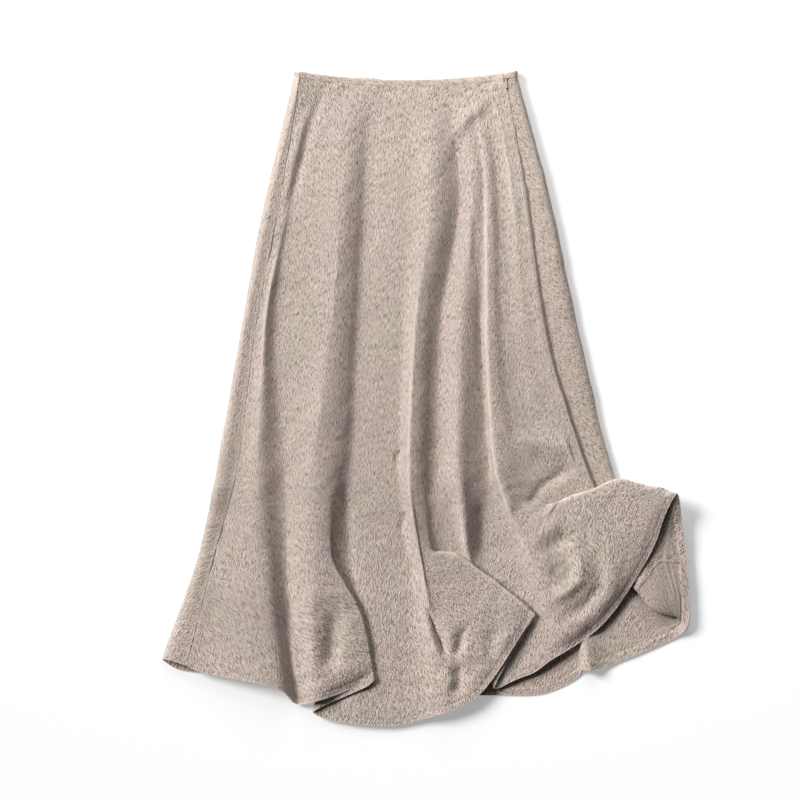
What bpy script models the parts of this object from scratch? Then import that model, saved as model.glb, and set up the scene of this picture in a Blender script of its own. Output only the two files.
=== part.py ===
"""An A-line midi skirt of bias-cut linen, lying face up on a flat surface.

Metres, +Z up. +Y runs from the hem to the waist and +X to the wearer's left.
Both cloth panels are lofts: a table gives the fold lines of a panel from seam to seam,
each line runs from the waist to the hem through a few levels, and a smooth curve joins
the lines of one level into a row of the cloth.
"""

from collections import namedtuple

import bmesh
import bpy
import numpy as np
from mathutils import Matrix, Vector

MM = 0.001

# ---- Driving dimensions, in millimetres ------------------------------------------------

CLOTH = 1.2                 # wall of the linen
SEAM_GAP = 0.7              # between the two panels' edges along a side seam
WAIST_LEFT = -172.0         # where the left side seam meets the waist edge
WAIST_RIGHT = 110.0         # where the zipped seam meets it
WAIST_MIDDLE = -26.0
WAIST_Y = 429.0             # the panels' top edge at centre front
WAIST_DIP = 12.0            # how far the edge rises again from there to the corners
WAIST_HALF = 153.0
WAIST_LOW = 5.0             # height of the collapsed waist at its middle
WAIST_HIGH = 15.0           # and at the side seams, over the rolled edges
BINDING_WIDTH = 9.0
BINDING_WALL = 2.0
BINDING_GAP = 0.3           # between the binding and the cloth it finishes
TAPE_WALL = 0.7
TAPE_DEPTH = 1.7            # from the middle of the panels' cloth to the middle of the tape
TAPE_END = 0.215            # the share of the way down at which the zip ends, 20 cm below the waist
TAPE_ROWS = 9

# The slider and its pull tab, from the axis of the tab's pin.
PIN_X, PIN_Y, PIN_Z = 110.25, 440.0, 17.2
ZIP_TILT = 4.0              # degrees, about the vertical
PIN_RADIUS, EYE_RADIUS, EYE_BORE = 0.45, 1.1, 0.75
EYE_WIDTH, EAR_WIDTH, EAR_LENGTH, EAR_TOP = 2.3, 0.7, 2.4, 1.0
SLIDER_WIDTH, SLIDER_LENGTH, SLIDER_TOP, SLIDER_BOTTOM = 4.2, 6.4, -1.6, -3.2
SLIDER_MIDDLE = -0.4        # the middle of the slider along the zip, from the pin
TAB_LENGTH, TAB_WIDTH, TAB_WALL, TAB_NECK = 14.0, 3.4, 0.9, 5.0
TAB_STEP = 0.05             # the neck's faces below the paddle's
LAPPED = 0.5                # how far joined shapes reach into each other
SLIDER_BEVEL, TAB_BEVEL = 0.3, 0.25
BORE_SPARE = 1.0            # how much longer the bore's cutter is than the eye

# Levels down a panel, as shares of its rows, and the height of each on the surface.
WAIST, HIP, THIGH, KNEE, CALF, HEM = 0.0, 0.18, 0.36, 0.54, 0.74, 1.0
HIP_Y, THIGH_Y, KNEE_Y = 280.0, 94.0, -98.0
CALF_SHARE = 0.42           # how far the calf level lies from the knee to the hem

# The turned-up flap: the cloth runs under it, back up inside it and down its face.
UNDER_Z, VALLEY_Z, INSIDE_Z, CREST_Z = 6.5, 10.0, 14.0, 24.0
ROLL = 13.0                 # the cloth that a fold takes to turn, each side of its edge
ROLL_SHARE = 0.4            # or this share of the way to the next turn, where that is near
NEAREST = 0.5               # a turn starts no farther back than half way
CREST_FALL = 7.0            # how far the crest lies below the hem where the hem is high
RISING_FALL = 5.0           # the cloth just before the crest, below it
FACE_SWELL = 1.0            # the cloth just past it, above the middle of crest and face
FACE_AT, FACE_SHARE = 0.1, 0.6  # the face's own station: its level past the crest, and its way to the hem
CLOSEST = 0.05              # the least distance between two fold lines that a row tells apart

MOUTH = 0.022               # the share of the way down at which the zip's mouth closes
MOUTH_HALF = 3.2            # how far each edge stands back from the seam at the top of the zip
MOUTH_REACH = 14.0          # and how far across the cloth that is felt
VALLEY, CREST, TURN = 0.66, 0.80, 0.02  # where the flap's lines turn, and the share that a turn takes
ROWS = (
    (WAIST, MOUTH, 1), (MOUTH, HIP, 2), (HIP, THIGH, 2), (THIGH, KNEE, 2), (KNEE, VALLEY - TURN, 2),
    (VALLEY - TURN, VALLEY + TURN, 2), (VALLEY + TURN, CREST - TURN, 2),
    (CREST - TURN, CREST + TURN, 2), (CREST + TURN, HEM, 4),
)
FRONT_STEPS = 2             # columns from one fold line of the front to the next
BACK_STEPS = 1

Line = namedtuple("Line", "name hip_x thigh_x knee_x calf_x hem_x hem_y hip_z knee_z hem_z")
Flap = namedtuple("Flap", "valley_x valley_y crest_x crest_y face_z")
Turn = namedtuple("Turn", "at x y z")

# Fold lines of the front, from the left seam to the zipped one.
FRONT = (
    # name, x at hip, thigh, knee, calf and hem, y at hem, z at hip, knee and hem
    Line("left_seam", -198, -233, -258, -288, -327, -367, 12.5, 12.5, 12.5),
    Line("seam_foot", -192, -227, -249, -279, -314, -374, 13.5, 14.5, 13.0),
    Line("side_ridge", -186, -220, -228, -219, -197, -400, 12.5, 23.5, 25.0),
    Line("side_trough", -180, -210, -195, -193, -176, -420, 10.5, 7.5, 6.5),
    Line("low_ridge", -155, -168, -177, -171, -152, -416, 13.0, 14.5, 21.0),
    Line("left_crest", -118, -129, -153, -150, -106, -401, 20.0, 27.0, 20.0),
    Line("left_edge", -107, -118, -131, -129, -69, -384, 19.0, 24.0, 14.0),
    Line("left_return", -95, -105, -117, -134, -76, -393, 14.0, 16.5, 12.4),
    Line("left_valley", -83, -93, -104, -130, -152, -431, 7.5, 8.0, 9.8),
    Line("left_rise", -71, -80, -92, -99, -141, -439, 7.5, 7.5, 7.0),
    Line("centre_left", -62, -64, -66, -66, -98, -447, 9.5, 9.0, 8.0),
    Line("centre", -42, -44, -45, -42, -48, -450, 12.0, 9.0, 8.0),
    Line("mid_foot", -19, -29, -35, -17, -8, -442, 14.0, 9.5, 9.0),
    Line("mid_crest", 7, -15, -23, -3, 24, -432, 22.0, 27.0, 17.0),
    Line("lap_upper", 16, -9, -16, 10, 71, -410, 21.5, 26.0, 18.0),
    Line("lap_lower", 24, -1, -9, 32, 138, -315, 19.0, 23.0, 20.0),
    Line("lap_edge", 32, 6, -2, 78, 151, -295, 15.0, 18.0, 17.4),
    Line("lap_return", 39, 13, 4, 62, 136, -324, 11.0, 11.5, 13.4),
    Line("mid_valley", 47, 20, 15, 48, 96, -398, 7.5, 8.0, 9.6),
    Line("twin_foot", 54, 32, 29, 54, 106, -396, 9.0, 13.0, 6.5),
    Line("twin_crest", 64, 49, 43, 59, 115, -391, 13.0, 24.0, 8.0),
    Line("twin_side", 72, 65, 64, 68, 131, -384, 12.5, 13.5, 8.0),
    Line("deep_valley", 77, 75, 86, 82, 151, -376, 11.0, 2.5, 9.0),
    Line("drop_return", 80, 80, 91, 130, 172, -360, 10.5, 6.0, 12.0),
    Line("drop_edge", 84, 84, 97, 138, 197, -345, 13.0, 18.0, 17.0),
    Line("flap_a", 90, 94, 114, 150, 218, -332, 13.0, 17.0, 18.0),
    Line("flap_b", 101, 107, 136, 170, 243, -312, 8.0, 11.0, 18.0),
    Line("flap_c", 111, 122, 158, 200, 269, -281.5, 9.0, 8.5, 18.0),
    Line("flap_d", 119, 136, 178, 231, 291, -245, 14.0, 8.5, 18.0),
    Line("flap_e", 126, 147, 195, 265, 315, -201, 14.0, 9.5, 20.0),
    Line("flap_f", 131, 155, 209, 298, 329, -160, 14.5, 12.0, 27.0),
    Line("flap_tip", 135, 160, 217, 290, 345, -131, 15.0, 13.0, 34.0),
    Line("inner_front", 138, 164, 222, 298, 353, -170, 14.0, 12.5, 16.0),
    Line("right_seam", 140, 168, 225, 305, 359, -218, 11.0, 6.5, 11.0),
)

# Where each line turns back under the flap, and where it turns over the flap's crest.
# A line with no face ends inside, and its crest is a point of the layer inside the flap.
FLAP = {
    #               valley x     y   crest x     y  face_z
    "flap_c":      Flap(190, -192, 200, -133, 26.0),
    "flap_d":      Flap(213, -201, 231, -123, 26.0),
    "flap_e":      Flap(238, -212, 265, -111, 26.5),
    "flap_f":      Flap(258, -225, 305, -120, 30.0),
    "flap_tip":    Flap(275, -236, 328, -126, 34.5),
    "inner_front": Flap(281, -249, 326, -184, None),
    "right_seam":  Flap(286, -258, 322, -218, None),
}

# Where the middle fold laps over the valley beside it, and where the flap swells from the drop edge.
LAP = {
    #               at    x     y     z
    "left_edge":  (Turn(0.74, -129, -211, 19.5), Turn(0.87, -86, -299, 16.5)),
    "left_return": (Turn(0.74, -131, -214, 15.5), Turn(0.87, -97, -304, 13.6)),
    "flap_a":     (Turn(0.64, 133, -142, 10.5), Turn(0.68, 139, -160, 15.5), Turn(0.80, 161, -221, 21.0)),
    "flap_b":     (Turn(0.64, 160, -140,  7.5), Turn(0.68, 166, -146, 11.0), Turn(0.78, 169, -146, 15.0),
                   Turn(0.82, 174, -154, 23.0), Turn(0.90, 208, -228, 23.0)),
    "lap_upper":  (Turn(0.66,  -6, -204, 22.0), Turn(0.80,  10, -275, 19.0)),
    "lap_lower":  (Turn(0.66,   3, -212, 20.0), Turn(0.80,  60, -249, 19.5)),
    "lap_edge":   (Turn(0.64,  12, -211, 17.0), Turn(0.70,  34, -211, 17.5), Turn(0.80, 78, -236, 16.0)),
    "lap_return": (Turn(0.64,   8, -208, 14.0), Turn(0.70,  24, -216, 14.0), Turn(0.80, 66, -250, 12.6)),
    "mid_valley": (Turn(0.64,  19, -206,  8.5), Turn(0.70,  28, -220,  8.0), Turn(0.80, 50, -282,  9.0)),
    "twin_foot":  (Turn(0.66,  46, -186,  9.0), Turn(0.80, 62, -262,  6.5)),
    "twin_crest": (Turn(0.66,  53, -188, 20.0), Turn(0.80, 70, -258,  7.5)),
    "twin_side":  (Turn(0.66,  64, -184, 12.0), Turn(0.80, 83, -254,  7.0)),
}


# ---- Curves ------------------------------------------------------------------------------


def curve_through(places, values, at):
    """The smooth curve through values at places, never beyond them, read at the given shares."""
    places = np.asarray(places, float)
    values = np.asarray(values, float)
    slopes = np.empty_like(values)
    step = np.diff(places)[:, None]
    rise = np.diff(values, axis=0) / step
    slopes[0], slopes[-1] = rise[0], rise[-1]
    onward = rise[:-1] * rise[1:] > 0
    first, second = step[:-1] + 2 * step[1:], 2 * step[:-1] + step[1:]
    slowness = first / np.where(onward, rise[:-1], 1.0) + second / np.where(onward, rise[1:], 1.0)
    slopes[1:-1] = np.where(onward, (first + second) / np.where(onward, slowness, 1.0), 0.0)
    found = []
    for share in at:
        i = int(np.clip(np.searchsorted(places, share, side="right") - 1, 0, len(places) - 2))
        width = places[i + 1] - places[i]
        u = (share - places[i]) / width
        found.append(
            (1 + 2 * u) * (1 - u) ** 2 * values[i]
            + u * (1 - u) ** 2 * width * slopes[i]
            + u * u * (3 - 2 * u) * values[i + 1]
            + u * u * (u - 1) * width * slopes[i + 1]
        )
    return np.array(found)


def row_through(points, steps):
    """One row of cloth: a centripetal curve through the fold lines' points of a level."""
    ends = np.vstack([2 * points[0] - points[1], points, 2 * points[-1] - points[-2]])
    gaps = np.maximum(np.linalg.norm(np.diff(ends, axis=0), axis=1), CLOSEST) ** 0.5
    row = []
    for i in range(1, len(ends) - 2):
        a, b, c, d = ends[i - 1:i + 3]
        before, here, after = gaps[i - 1:i + 2]
        leave = (b - a) / before - (c - a) / (before + here) + (c - b) / here
        arrive = (c - b) / here - (d - b) / (here + after) + (d - c) / after
        for u in np.arange(steps) / steps:
            row.append(
                (1 + 2 * u) * (1 - u) ** 2 * b
                + u * (1 - u) ** 2 * here * leave
                + u * u * (3 - 2 * u) * c
                + u * u * (u - 1) * here * arrive
            )
    row.append(ends[-2])
    return np.array(row)


def row_shares(spans=ROWS):
    """The share of the way down at which each row lies."""
    shares = [start + (end - start) * i / count for start, end, count in spans for i in range(count)]
    return np.array(shares + [HEM])


# ---- The front panel -----------------------------------------------------------------------


def waist_point(x, left=WAIST_LEFT, right=WAIST_RIGHT):
    """A point of the front's top edge."""
    side = abs(2 * (x - left) / (right - left) - 1)
    y = WAIST_Y + WAIST_DIP * ((x - WAIST_MIDDLE) / WAIST_HALF) ** 2
    return (x, y, WAIST_LOW + (WAIST_HIGH - WAIST_LOW) * side ** 3)


def mix(a, b, share):
    """The point a share of the way from a to b."""
    return tuple(p + (q - p) * share for p, q in zip(a, b))


def before(start, end, distance):
    """The point short of end by a distance, on the way from start."""
    length = np.linalg.norm(np.subtract(end[:2], start[:2]))
    return mix(start, end, max(1 - distance / length, NEAREST))


def flap_course(knee, hem, flap):
    """The stations of a line that runs under the flap, up inside it and down its face."""
    valley = (flap.valley_x, flap.valley_y, VALLEY_Z)
    crest = (flap.crest_x, flap.crest_y, max(CREST_Z, hem[2] - CREST_FALL))
    under = before(knee, valley, ROLL)
    roll = min(ROLL, ROLL_SHARE * np.linalg.norm(np.subtract(crest[:2], valley[:2])))
    inside = before(crest, valley, roll)
    course = [(VALLEY - TURN, (*under[:2], UNDER_Z)), (VALLEY, valley)]
    course.append((VALLEY + TURN, (*inside[:2], INSIDE_Z)))
    if flap.face_z is None:
        course.append((CREST, (*crest[:2], (INSIDE_Z + hem[2]) / 2)))
        return course
    rising = before(valley, crest, roll)
    down_face = np.linalg.norm(np.subtract(hem[:2], crest[:2]))
    over = before(hem, crest, min(roll, ROLL_SHARE * down_face))
    course.append((CREST - TURN, (*rising[:2], crest[2] - RISING_FALL)))
    course.append((CREST, crest))
    course.append((CREST + TURN, (*over[:2], (crest[2] + flap.face_z) / 2 + FACE_SWELL)))
    course.append((CREST + FACE_AT, (*mix(crest, hem, FACE_SHARE)[:2], flap.face_z)))
    return course


def line_stations(line, waist, turns=None, flap=None):
    """The stations of a fold line: its share of the way down and its point at each level."""
    knee = (line.knee_x, KNEE_Y, line.knee_z)
    hem = (line.hem_x, line.hem_y, line.hem_z)
    thigh = (line.thigh_x, THIGH_Y, (line.hip_z + line.knee_z) / 2)
    stations = [(WAIST, waist), (HIP, (line.hip_x, HIP_Y, line.hip_z)), (THIGH, thigh), (KNEE, knee)]
    if flap:
        stations += flap_course(knee, hem, flap)
    elif turns:
        stations += [(turn.at, turn[1:]) for turn in turns]
    else:
        calf_y = KNEE_Y + CALF_SHARE * (line.hem_y - KNEE_Y)
        stations.append((CALF, (line.calf_x, calf_y, (line.knee_z + line.hem_z) / 2)))
    return stations + [(HEM, hem)]


def course_of(stations, shares):
    """The points of a fold line at the given shares of the way down."""
    return curve_through([at for at, _ in stations], [point for _, point in stations], shares)


def mouth(shares, from_seam=0.0):
    """How far the cloth stands back from the zipped seam at each row, less the farther it is from it."""
    open_share = np.clip(1 - np.asarray(shares) / MOUTH, 0, 1)
    return MOUTH_HALF * open_share * np.clip(1 - np.asarray(from_seam) / MOUTH_REACH, 0, 1)


def front_grid(shares, steps):
    """The middle of the front's cloth, as rows of points."""
    first, last = FRONT[0], FRONT[-1]
    courses = []
    for line in FRONT:
        across = (line.hip_x - first.hip_x) / (last.hip_x - first.hip_x)
        waist = waist_point(WAIST_LEFT + across * (WAIST_RIGHT - WAIST_LEFT))
        stations = line_stations(line, waist, LAP.get(line.name), FLAP.get(line.name))
        courses.append(course_of(stations, shares))
    courses = np.array(courses)
    courses[:, :, 0] -= mouth(shares, courses[-1, :, 0] - courses[:, :, 0])
    return np.array([row_through(courses[:, i], steps) for i in range(len(shares))])


# ---- The back panel ------------------------------------------------------------------------

FLAT_Z = CLOTH / 2          # middle of the cloth where the back lies on the surface
WAIST_ROLL_LEFT, WAIST_ROLL_RIGHT = -179.0, 126.5

# Fold lines of the back in sight or at its sides, from the left seam round to the zipped one.
BACK_LEFT = (
    # name, x at hip, thigh, knee, calf and hem, y at hem, z at hip, knee and hem
    Line("left_strip", -211, -249, -279, -303, -350, -360, 15.0, 15.0, 12.0),
    Line("left_roll", -218, -253, -286, -309, -361.4, -358, 8.0, 8.0, 6.0),
    Line("left_under", -212, -247, -280, -303, -344, -370.5, FLAT_Z, FLAT_Z, FLAT_Z),
    Line("left_flat", -198, -231, -265, -290, -324, -375, FLAT_Z, FLAT_Z, FLAT_Z),
)
BACK_RIGHT = (
    Line("right_inner", 70, 92, 110, 105, 100, -408, FLAT_Z, FLAT_Z, FLAT_Z),
    Line("right_middle", 90, 120, 145, 155, 165, -405, FLAT_Z, FLAT_Z, FLAT_Z),
    Line("tail_in", 104, 138, 170, 205, 214, -380, FLAT_Z, FLAT_Z, FLAT_Z),
    Line("tail_edge", 108, 142, 175, 207, 217, -372, FLAT_Z, FLAT_Z, 9.0),
    Line("tail_crest", 112, 147, 180, 213, 224, -374, FLAT_Z, FLAT_Z, 16.0),
    Line("tail_foot", 120, 156, 190, 232, 250, -368, FLAT_Z, FLAT_Z, 4.0),
    Line("right_flat", 138, 176, 215, 265, 296, -350, FLAT_Z, FLAT_Z, 2.0),
    Line("right_under", 164, 204, 250, 318, 345, -328, FLAT_Z, FLAT_Z, 3.0),
    Line("right_roll", 170, 210, 257, 334, 360, -314, 8.0, 6.5, 12.0),
    Line("right_strip", 165, 203, 251, 323, 362, -268, 14.0, 9.0, 12.0),
)
BACK_TURNS = {
    "tail_in":     (Turn(0.74, 203, -213, FLAT_Z), Turn(0.90, 208, -318, FLAT_Z)),
    "tail_edge":   (Turn(0.74, 207, -213, FLAT_Z), Turn(0.90, 212, -314, 4.0)),
    "tail_crest":  (Turn(0.74, 213, -214, FLAT_Z), Turn(0.90, 218, -316, 8.0)),
    "tail_foot":   (Turn(0.74, 232, -211, FLAT_Z), Turn(0.90, 243, -312, 2.0)),
    "right_under": (Turn(VALLEY, 330, -288, FLAT_Z), Turn(CREST, 338, -308, 1.2)),
    "right_roll":  (Turn(VALLEY, 347, -300, 5.0), Turn(CREST, 354, -309, 7.0)),
}
BACK_FLAP = {"right_strip": Flap(316, -292, 343, -280, None)}

# Laps that take up the back's flare out of sight. edge is where the lower layer turns back.
Lap = namedtuple("Lap", "hip_x thigh_x knee_x calf_x hem_x hem_y")
BACK_LAPS = (
    Lap(-128, -148, -166, -180, -195, -384),
    Lap(-48, -52, -56, -58, -60, -404),
    Lap(22, 24, 24, 24, 34, -408),
)
LAP_OVER = (
    (WAIST, -14.0), (KNEE, -9.0), (VALLEY - TURN, -8.0), (VALLEY, 0.0), (VALLEY + TURN, 14.0), (HEM, 68.0),
)
LAP_RISE = ((WAIST, 0.3), (HIP, 0.4), (KNEE, 1.0), (HEM, 1.0))
LapLine = namedtuple("LapLine", "shift share spread z")
LAP_LINES = (
    #       shift, share of the overlap, share of the distance still open, z
    LapLine(-7.0, 0.0, 0.0, 0.0),
    LapLine(0.0, 0.0, 0.0, 1.3),
    LapLine(0.0, 1.0, 0.0, 3.3),
    LapLine(6.0, 1.0, 0.0, 4.6),
    LapLine(9.0, 0.0, 1.0, 4.6),
    LapLine(18.0, 0.0, 1.0, 0.0),
)


def back_waist(hip_x, z):
    """The point of the back's top edge above a point of its hip level."""
    left, right = BACK_LEFT[1].hip_x, BACK_RIGHT[-2].hip_x
    across = (hip_x - left) / (right - left)
    x, y, _ = waist_point(WAIST_ROLL_LEFT + across * (WAIST_ROLL_RIGHT - WAIST_ROLL_LEFT))
    return (x, y, z)


def lap_courses(lap, shares):
    """The fold lines of one lap, from its lower layer to its upper one."""
    line = Line("", *lap, FLAT_Z, FLAT_Z, FLAT_Z)
    edge = course_of(line_stations(line, back_waist(lap.hip_x, FLAT_Z)), shares)
    over, rise = (
        curve_through([at for at, _ in table], [(value,) for _, value in table], shares)[:, 0]
        for table in (LAP_OVER, LAP_RISE)
    )
    courses = []
    for fold in LAP_LINES:
        moved = edge.copy()
        moved[:, 0] += fold.shift - fold.share * over + fold.spread * np.maximum(-over, 0.0)
        moved[:, 2] += fold.z * rise
        courses.append(moved)
    return courses


def seam_edge(grid, side):
    """The edge of the neighbour's cloth across a side seam of the front."""
    edge, inner = grid[:, side], grid[:, 1 if side == 0 else -2]
    along = np.gradient(edge, axis=0)
    along /= np.linalg.norm(along, axis=1)[:, None]
    away = edge - inner
    away -= along * (away * along).sum(axis=1)[:, None]
    return edge + away * SEAM_GAP / np.linalg.norm(away, axis=1)[:, None]


def back_grid(shares, steps):
    """The middle of the back's cloth, as rows of points from the left seam to the zipped one."""
    front = front_grid(shares, steps)

    def plain(line):
        waist = back_waist(line.hip_x, line.hip_z)
        turns, flap = BACK_TURNS.get(line.name), BACK_FLAP.get(line.name)
        return course_of(line_stations(line, waist, turns, flap), shares)

    courses = [seam_edge(front, 0)] + [plain(line) for line in BACK_LEFT]
    for lap in BACK_LAPS:
        courses += lap_courses(lap, shares)
    courses += [plain(line) for line in BACK_RIGHT] + [seam_edge(front, -1)]
    courses = np.array(courses)
    seam = courses[-1, :, 0] + mouth(shares)
    courses[-3:, :, 0] += mouth(shares, courses[-3:, :, 0] - seam)
    courses[-1, :, 0] = seam + mouth(shares)
    grid = np.array([row_through(courses[:, i], steps) for i in range(len(shares))])
    grid[:, :, 2] = np.maximum(grid[:, :, 2], FLAT_Z)
    return grid


# ---- Solids --------------------------------------------------------------------------------


def finish(name, colour, roughness, metallic=0.0):
    """A plain surface finish."""
    material = bpy.data.materials.new(name)
    material.use_nodes = True
    surface = material.node_tree.nodes["Principled BSDF"]
    surface.inputs["Base Color"].default_value = (*colour, 1.0)
    surface.inputs["Roughness"].default_value = roughness
    surface.inputs["Metallic"].default_value = metallic
    material.diffuse_color = (*colour, 1.0)
    return material


def place(ob, collection, parent):
    """Puts an object in the model's collection, under its parent."""
    collection.objects.link(ob)
    ob.parent = parent
    return ob


def unit(vectors):
    """The vectors, one long."""
    return vectors / np.linalg.norm(vectors, axis=-1, keepdims=True)


def legs_of(grid, axis):
    """The directions in which a grid's lines reach and leave each point."""
    legs = unit(np.diff(grid, axis=axis))
    reach = np.concatenate([legs.take([0], axis=axis), legs], axis=axis)
    leave = np.concatenate([legs, legs.take([-1], axis=axis)], axis=axis)
    return reach, leave


def normals_of(grid):
    """The unit normals of a grid's points, half way round where the cloth folds."""
    corners = [unit(np.cross(down, across)) for down in legs_of(grid, 0) for across in legs_of(grid, 1)]
    return unit(sum(corners))


def sheet_of(name, grid, wall, material):
    """A closed wall of cloth on a grid of its middle surface."""
    rows, columns = grid.shape[:2]
    half = normals_of(grid) * wall / 2
    mesh = bpy.data.meshes.new(name)
    bm = bmesh.new()
    sides = []
    for surface in (grid + half, grid - half):
        corners = [[bm.verts.new(Vector(point) * MM) for point in row] for row in surface]
        sides.append(corners)
        for i in range(rows - 1):
            for j in range(columns - 1):
                bm.faces.new((corners[i][j], corners[i + 1][j], corners[i + 1][j + 1], corners[i][j + 1]))
    edge = [(0, j) for j in range(columns)] + [(i, columns - 1) for i in range(1, rows)]
    edge += [(rows - 1, j) for j in range(columns - 2, -1, -1)] + [(i, 0) for i in range(rows - 2, 0, -1)]
    upper, lower = sides
    for (i, j), (k, n) in zip(edge, edge[1:] + edge[:1]):
        bm.faces.new((upper[i][j], upper[k][n], lower[k][n], lower[i][j]))
    bmesh.ops.recalc_face_normals(bm, faces=bm.faces)
    bm.to_mesh(mesh)
    bm.free()
    mesh.shade_smooth()
    mesh.materials.append(material)
    return bpy.data.objects.new(name, mesh)


def binding_grid(top_edge, flat_side):
    """The strip that stands on a panel's top edge, two rows of it."""
    edge = top_edge.copy()
    for end, inner in ((0, 1), (-1, -2)):
        inward = edge[inner] - edge[end]
        edge[end] += inward * BINDING_GAP / np.linalg.norm(inward)
    if flat_side:
        edge[:, 2] = np.maximum(edge[:, 2], BINDING_WALL / 2)
    rows = [edge + (0.0, rise, 0.0) for rise in (BINDING_WIDTH, BINDING_GAP)]
    return np.array(rows)


def tape_grid():
    """The closed zip tape, on the inside of both panels along the zipped seam."""
    shares = np.linspace(WAIST, TAPE_END, TAPE_ROWS)
    front, back = front_grid(shares, 1), back_grid(shares, 1)
    middle = (front[:, -1:] + back[:, -1:]) / 2
    beyond = (back[:, -2:-1] + back[:, -1:]) / 2
    across = np.concatenate([front[:, -4:-2], middle, beyond], axis=1)
    return across - normals_of(across) * TAPE_DEPTH


# ---- The zip's hard parts ----------------------------------------------------------------------


def box_into(bm, low, high):
    """Adds a box between two corners."""
    low, high = Vector(low), Vector(high)
    size = Matrix.Diagonal((*(high - low), 1.0))
    bmesh.ops.create_cube(bm, size=1.0, matrix=Matrix.Translation((low + high) / 2) @ size)


def barrel_into(bm, radius, width, sides=16):
    """Adds a cylinder along X about the pin's axis."""
    turned = Matrix.Rotation(np.pi / 2, 4, "Y")
    bmesh.ops.create_cone(
        bm, cap_ends=True, segments=sides, radius1=radius, radius2=radius, depth=width, matrix=turned
    )


def small_part(name, build, material, bevel=0.0):
    """An object in metres from a function that fills a bmesh in millimetres."""
    mesh = bpy.data.meshes.new(name)
    bm = bmesh.new()
    build(bm)
    bmesh.ops.scale(bm, vec=(MM, MM, MM), verts=bm.verts)
    bm.to_mesh(mesh)
    bm.free()
    if material:
        mesh.materials.append(material)
    ob = bpy.data.objects.new(name, mesh)
    if bevel:
        rounded = ob.modifiers.new("edges", "BEVEL")
        rounded.width = bevel * MM
        rounded.segments = 2
        rounded.limit_method = "ANGLE"
    return ob


def boolean(ob, other, operation):
    """Joins to an object, or cuts from it, another one."""
    step = ob.modifiers.new(other.name, "BOOLEAN")
    step.operation = operation
    step.object = other


def guide(ob, collection, parent):
    """Keeps an object that only shapes another out of the model."""
    ob.hide_render = True
    ob.display_type = "WIRE"
    return place(ob, collection, parent)


def slider_body(bm):
    """The slider's shoe, in the mouth of the zip."""
    front = SLIDER_MIDDLE - SLIDER_LENGTH / 2
    box_into(
        bm,
        (-SLIDER_WIDTH / 2, front, SLIDER_BOTTOM),
        (SLIDER_WIDTH / 2, front + SLIDER_LENGTH, SLIDER_TOP),
    )


def slider_ear(side):
    """A function that makes one of the two ears that hold the pin."""
    inner = EYE_WIDTH / 2 + BINDING_GAP
    ends = sorted((side * inner, side * (inner + EAR_WIDTH)))

    def build(bm):
        box_into(bm, (ends[0], -EAR_LENGTH / 2, SLIDER_TOP - LAPPED), (ends[1], EAR_LENGTH / 2, EAR_TOP))

    return build


def slider_pin(bm):
    """The pin between the ears."""
    barrel_into(bm, PIN_RADIUS, EYE_WIDTH + 2 * BINDING_GAP + EAR_WIDTH)


def tab_plate(bm):
    """The tab's paddle, pointing down the zip."""
    box_into(bm, (-TAB_WIDTH / 2, -TAB_LENGTH, -TAB_WALL / 2), (TAB_WIDTH / 2, -TAB_NECK, TAB_WALL / 2))


def tab_neck(bm):
    """The narrower neck between the eye and the paddle."""
    half = TAB_WALL / 2 - TAB_STEP
    box_into(bm, (-EYE_WIDTH / 2, -TAB_NECK - LAPPED, -half), (EYE_WIDTH / 2, 0, half))


def tab_eye(bm):
    """The round eye about the pin."""
    barrel_into(bm, EYE_RADIUS, EYE_WIDTH)


def tab_bore(bm):
    """The hole through the eye."""
    barrel_into(bm, EYE_BORE, EYE_WIDTH + BORE_SPARE)


def make_zip_head(model, cutters, parent, metal, painted):
    """The slider and the pull tab, about the pin's axis."""
    slider = place(small_part("zip_slider", slider_body, metal, bevel=SLIDER_BEVEL), model, parent)
    for name, build in (("ear_left", slider_ear(-1)), ("ear_right", slider_ear(1)), ("pin", slider_pin)):
        boolean(slider, guide(small_part(name, build, metal), cutters, parent), "UNION")
    tab = place(small_part("zip_pull_tab", tab_plate, painted, bevel=TAB_BEVEL), model, parent)
    boolean(tab, guide(small_part("tab_neck", tab_neck, painted), cutters, parent), "UNION")
    boolean(tab, guide(small_part("tab_eye", tab_eye, painted), cutters, parent), "UNION")
    boolean(tab, guide(small_part("tab_bore", tab_bore, None), cutters, parent), "DIFFERENCE")


# ---- The skirt -----------------------------------------------------------------------------------


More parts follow.
